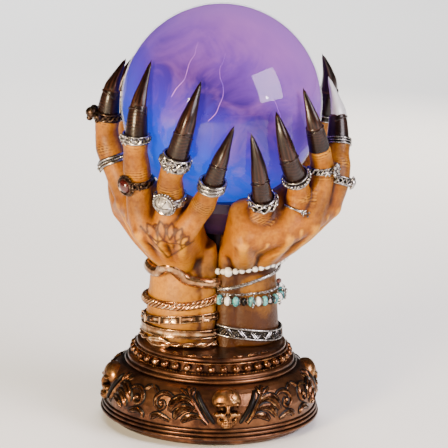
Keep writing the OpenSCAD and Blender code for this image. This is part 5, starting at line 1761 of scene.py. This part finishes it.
skullSet = {"height": 25.6, "out": 63.2, "voxel": 0.36 * mm, "smoothing": 4, "sunk": 1.2 * mm,
            "bottom": 13.8 * mm, "top": 37.2 * mm,
            # place and half-sizes in mm, and how fine: cranium, face, jaw, nose bridge
            "lumps": [((0, 3.0, -1.0), (8.3, 7.6, 7.0), 24, 32), ((0, -1.6, 2.2), (5.6, 6.2, 5.4), 18, 24),
                      ((0, -7.8, 3.6), (4.5, 3.4, 4.4), 14, 20), ((0, 0.6, 5.2), (1.2, 2.4, 1.8), 10, 12)],
            # brow, cheekbone and side of the jaw, one on each side
            "pairs": [((3.5, 2.7, 4.6), (3.3, 1.2, 1.9), 10, 16), ((5.6, -2.8, 3.8), (2.3, 1.6, 2.8), 10, 16),
                      ((4.7, -6.2, 2.6), (1.3, 3.6, 2.6), 10, 14)]}


def plainSkull(quarter):
    # lumps in one skin, then eye sockets, nose and two rows of teeth pressed into it
    turn = math.radians(90 * quarter)
    out = np.array([math.sin(turn), -math.cos(turn), 0])
    side, up = np.array([math.cos(turn), math.sin(turn), 0]), np.array([0, 0, 1.0])
    axes = np.array([side, up, out])
    at = lambda u, v, w: side * u * mm + up * (skullSet["height"] + v) * mm + out * (skullSet["out"] + w) * mm
    lumps = skullSet["lumps"] + [((s * u, v, w), *rest) for s in (-1, 1)
                                 for (u, v, w), *rest in skullSet["pairs"]]
    parts = [ball(at(*spot), np.array(radii) * mm, rows, columns, axes)
             for spot, radii, rows, columns in lumps]
    skull = voxelSkin("skull_" + str(quarter), parts, skullSet["voxel"], skullSet["smoothing"])
    mesh = skull.data
    points = coordinates(mesh)
    rel = points - at(0, 0, 0)
    u, v, w = rel @ side / mm, rel @ up / mm, rel @ out / mm
    facing = np.clip(w + 1.5, 0, 1)
    dent = np.zeros(len(points))
    for s in (-1, 1):
        dent += 3.6 * np.exp(-(((u - s * 3.3) / 2.15) ** 4 + ((v - 0.1) / 1.75) ** 4))
        dent += 1.9 * np.exp(-(((u - s * 0.75) / 0.75) ** 2 + ((v + 3.2 - 0.35 * s * u) / 1.35) ** 2))
        dent += 0.8 * np.exp(-(((u - s * 7.0) / 1.3) ** 2 + ((v + 0.2) / 2.0) ** 2))
        dent += 0.9 * np.exp(-(((u - s * 3.5) / 1.5) ** 2 + ((v + 5.6) / 0.9) ** 2))
    dent += 0.9 * np.exp(-((v + 7.4) / 0.32) ** 2) * np.clip(1 - np.abs(u) / 4.6, 0, 1)
    teeth = (np.abs(v + 7.4) < 1.9) * np.clip(1 - np.abs(u) / 4.2, 0, 1)
    dent += 0.75 * teeth * np.exp(-((np.mod(u + 0.65, 1.3) - 0.65) / 0.20) ** 2)
    crack = np.abs(u - 2.2 - 0.7 * np.sin(v * 1.6)) < 0.22
    dent += 0.35 * crack * (v > 4.5)
    dent *= facing * mm
    points = points - np.outer(dent, out) + 0.15 * (np.outer(u, side) + np.outer(v, up)) * mm
    inside = np.linalg.norm(points[:, :2], axis=1)
    wall = np.array([bodyRadius(z) for z in points[:, 2]]) - skullSet["sunk"]
    buried = inside < wall
    points[buried, :2] *= (wall[buried] / inside[buried])[:, None]
    points[:, 2] = np.clip(points[:, 2], skullSet["bottom"], skullSet["top"])
    setCoordinates(mesh, points)
    hollow = hollowness(mesh, 4)
    wash = np.clip(dent / (1.5 * mm), 0, 1)
    setAttribute(mesh, "cavity", np.clip(0.9 * wash + np.clip(hollow / (0.12 * mm), 0, 0.6), 0, 0.97))
    return skull


def makeSkulls():
    heads = [plainSkull(quarter) for quarter in (-1, 0, 1)]
    parts = [(coordinates(h.data), [tuple(p.vertices) for p in h.data.polygons]) for h in heads]
    wash = np.concatenate([np.array([d.value for d in h.data.attributes["cavity"].data]) for h in heads])
    piece = toObject("three_skulls", joinParts(parts))
    setAttribute(piece.data, "cavity", wash)
    for head in heads:
        bpy.data.objects.remove(head)
    finish(piece, skullGold, ["skull_ornaments"], None)


def topRelief():
    # a low run of curls on the flat top, in front of the wrists
    parts = []
    for side in (-1, 1):
        for k in range(3):
            start = 6 + 13 * k
            curl = []
            for u in np.linspace(0, 1, 16):
                t = u * 4.6
                r = (2.3 - 1.5 * u) * mm
                a = math.radians(side * (start + 6))
                out = np.array([math.sin(a), -math.cos(a), 0])
                centre = np.array([baseSet["curlR"] * out[0], baseSet["curlR"] * out[1], baseTop])
                along = np.array([math.cos(a), math.sin(a), 0]) * side
                curl.append(centre + along * r * math.cos(t) * 1.7 + out * r * math.sin(t) * 0.55
                            + np.array([0, 0, 0.25 * mm]))
            parts.append(wire(curl, 0.55 * mm, 8))
    makePiece("top_curls", parts, relief, [])


lacquer = plasticMaterial("black_lacquer", (0.004, 0.0025, 0.002), 0.34)
lacquer.node_tree.nodes["Principled BSDF"].inputs["Specular IOR Level"].default_value = 0.12
skullGold = metalMaterial("skull_gold", (0.085, 0.032, 0.010),
                          (0.28, 0.120, 0.040), (0.72, 0.42, 0.17), 0.22, 0.42, 200)
makeBeads()
makeScrolls()
makeSkulls()
topRelief()
print("stage: plinth trim")

# ---- Materials for the CAD nodes that stay in view
plinthSet = {"dark": (0.006, 0.003, 0.002), "grooves": [5.5, 8.0, 10.5, 13.0, 37.4, 40.4, 43.2, 49.2],
             "grooveHalf": 0.75 * mm}


def plinthMaterial():
    # turned bronze: grooves keep dark patina, crests are rubbed bright
    material, tree, shader = newMaterial("plinth_bronze")
    at = place(tree)
    patina = noiseField(tree, at, 120, 6, 0.62)
    broad = noiseField(tree, at, 22, 3, 0.5)
    base = ramp(tree, patina, [(0.30, (0.010, 0.0035, 0.002)), (0.50, (0.048, 0.017, 0.008)),
                               (0.72, (0.20, 0.078, 0.034))])
    base = mixColour(tree, ramp(tree, broad, [(0.42, (0, 0, 0)), (0.62, (1, 1, 1))]), base,
                     mixColour(tree, 0.24, base, (0.46, 0.20, 0.08)))
    height = node(tree, "ShaderNodeSeparateXYZ", {0: at}).outputs[2]
    dark = None
    for groove in plinthSet["grooves"]:
        gap = maths(tree, "ABSOLUTE", maths(tree, "SUBTRACT", height, groove * mm))
        near = maths(tree, "SUBTRACT", 1.0, maths(tree, "MULTIPLY", gap, 1 / plinthSet["grooveHalf"]))
        near = maths(tree, "MAXIMUM", near, 0.0)
        dark = near if dark is None else maths(tree, "MAXIMUM", dark, near)
    dusty = maths(tree, "MULTIPLY", dark, maths(tree, "MULTIPLY_ADD", patina, 0.6, 0.55))
    final = mixColour(tree, maths(tree, "MINIMUM", dusty, 0.92), base, plinthSet["dark"])
    fill(tree, shader, {"Base Color": final, "Metallic": 0.85})
    shine(tree, shader, patina, 0.42, 0.22)
    bump(tree, shader, noiseField(tree, at, 420, 4, 0.6), 0.0002, 0.8)
    return material


def brushedMaterial(name, colour, rough, along=(1, 1, 30)):
    material, tree, shader = newMaterial(name)
    lines = noiseField(tree, place(tree, along), 120, 4, 0.6)
    tree.links.new(mixColour(tree, lines, tuple(c * 0.6 for c in colour), colour),
                   shader.inputs["Base Color"])
    fill(tree, shader, {"Metallic": 0.9})
    shine(tree, shader, lines, rough + 0.12, rough)
    bump(tree, shader, lines, 0.0001, 0.6)
    return material


def windingMaterial():
    material, tree, shader = newMaterial("enamelled_winding")
    turns = node(tree, "ShaderNodeTexWave", {"Vector": place(tree), "Scale": 260.0, "Distortion": 0.4},
                 bands_direction="Z").outputs["Fac"]
    tree.links.new(ramp(tree, turns, [(0.1, (0.16, 0.035, 0.010)), (0.7, (0.62, 0.20, 0.06))]),
                   shader.inputs["Base Color"])
    fill(tree, shader, {"Metallic": 0.5})
    shine(tree, shader, turns, 0.45, 0.28)
    bump(tree, shader, turns, 0.0003, 0.9)
    return material


def boardMaterial():
    material, tree, shader = newMaterial("green_board")
    at = place(tree)
    cells = node(tree, "ShaderNodeTexVoronoi", {"Vector": at, "Scale": 260.0},
                 distance="MANHATTAN").outputs["Distance"]
    tracks = ramp(tree, cells, [(0.25, (0.006, 0.075, 0.030)), (0.32, (0.012, 0.14, 0.055)),
                                (0.60, (0.008, 0.10, 0.04))])
    tree.links.new(tracks, shader.inputs["Base Color"])
    shine(tree, shader, cells, 0.32, 0.5)
    bump(tree, shader, cells, 0.0001, 0.6)
    return material


def clearGlass(name, tint):
    material, tree, shader = newMaterial(name)
    at = place(tree)
    swirl = noiseField(tree, at, 80, 3)
    tree.links.new(mixColour(tree, swirl, tint, tuple(min(1, c * 1.1) for c in tint)),
                   shader.inputs["Base Color"])
    fill(tree, shader, {"Transmission Weight": 0.8})
    shine(tree, shader, swirl, 0.05, 0.14)
    return material


rubber = plasticMaterial("black_rubber", (0.018, 0.018, 0.018), 0.72, 0, 1400)
blackPlastic = plasticMaterial("black_plastic", (0.022, 0.022, 0.024), 0.45)
steel = brushedMaterial("screw_steel", (0.55, 0.55, 0.56), 0.26)
darkSteel = brushedMaterial("tube_steel", (0.045, 0.026, 0.034), 0.42, (30, 30, 1))
nodeMaterials = {
    "base_shell": plinthMaterial(),
    "bottom_cover": plasticMaterial("cover_plastic", (0.055, 0.050, 0.050), 0.5),
    "cover_screws": steel, "rubber_feet": rubber, "rear_panel": blackPlastic, "panel_screws": steel,
    "switch_body": plasticMaterial("grey_plastic", (0.26, 0.26, 0.27), 0.45),
    "switch_knob": plasticMaterial("white_plastic", (0.70, 0.69, 0.66), 0.38),
    "dc_jack": blackPlastic, "circuit_board": boardMaterial(), "board_screws": steel,
    "transformer_core": plasticMaterial("ferrite", (0.085, 0.08, 0.08), 0.55, 0.2),
    "transformer_coil": windingMaterial(), "power_transistor": blackPlastic,
    "heat_sink": brushedMaterial("aluminium", (0.62, 0.62, 0.63), 0.30, (1, 30, 1)),
    "capacitors": plasticMaterial("capacitor_sleeve", (0.02, 0.035, 0.14), 0.3),
    "hv_lead": plasticMaterial("red_lead", (0.45, 0.03, 0.02), 0.42),
    "power_leads": plasticMaterial("lead_sleeve", (0.38, 0.035, 0.025), 0.42),
    "support_tube": darkSteel, "tube_nut": steel,
    "globe_collar": glazedMaterial("purple_cup", (0.016, 0.004, 0.030), (0.050, 0.014, 0.085),
                                   60, 0.42, 0.05),
    "globe_gasket": rubber, "electrode_bulb": clearGlass("stem_glass", (0.16, 0.09, 0.34)),
    "electrode_core": brushedMaterial("core_metal", (0.30, 0.29, 0.30), 0.35),
}
for name, material in nodeMaterials.items():
    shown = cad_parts[name]
    for slot in shown.material_slots:
        slot.material = material
print("stage: materials of the CAD nodes")

def addFloor():
    floor = toObject("pale_floor", (np.array([(-1, -1, 0), (1, -1, 0), (1, 1, 0), (-1, 1, 0)], float)
                                    * floorSet["half"], [(0, 1, 2, 3)]))
    material, tree, shader = newMaterial("floor")
    fill(tree, shader, {"Base Color": (*floorSet["colour"], 1), "Roughness": 0.8})
    floor.data.materials.append(material)


addFloor()
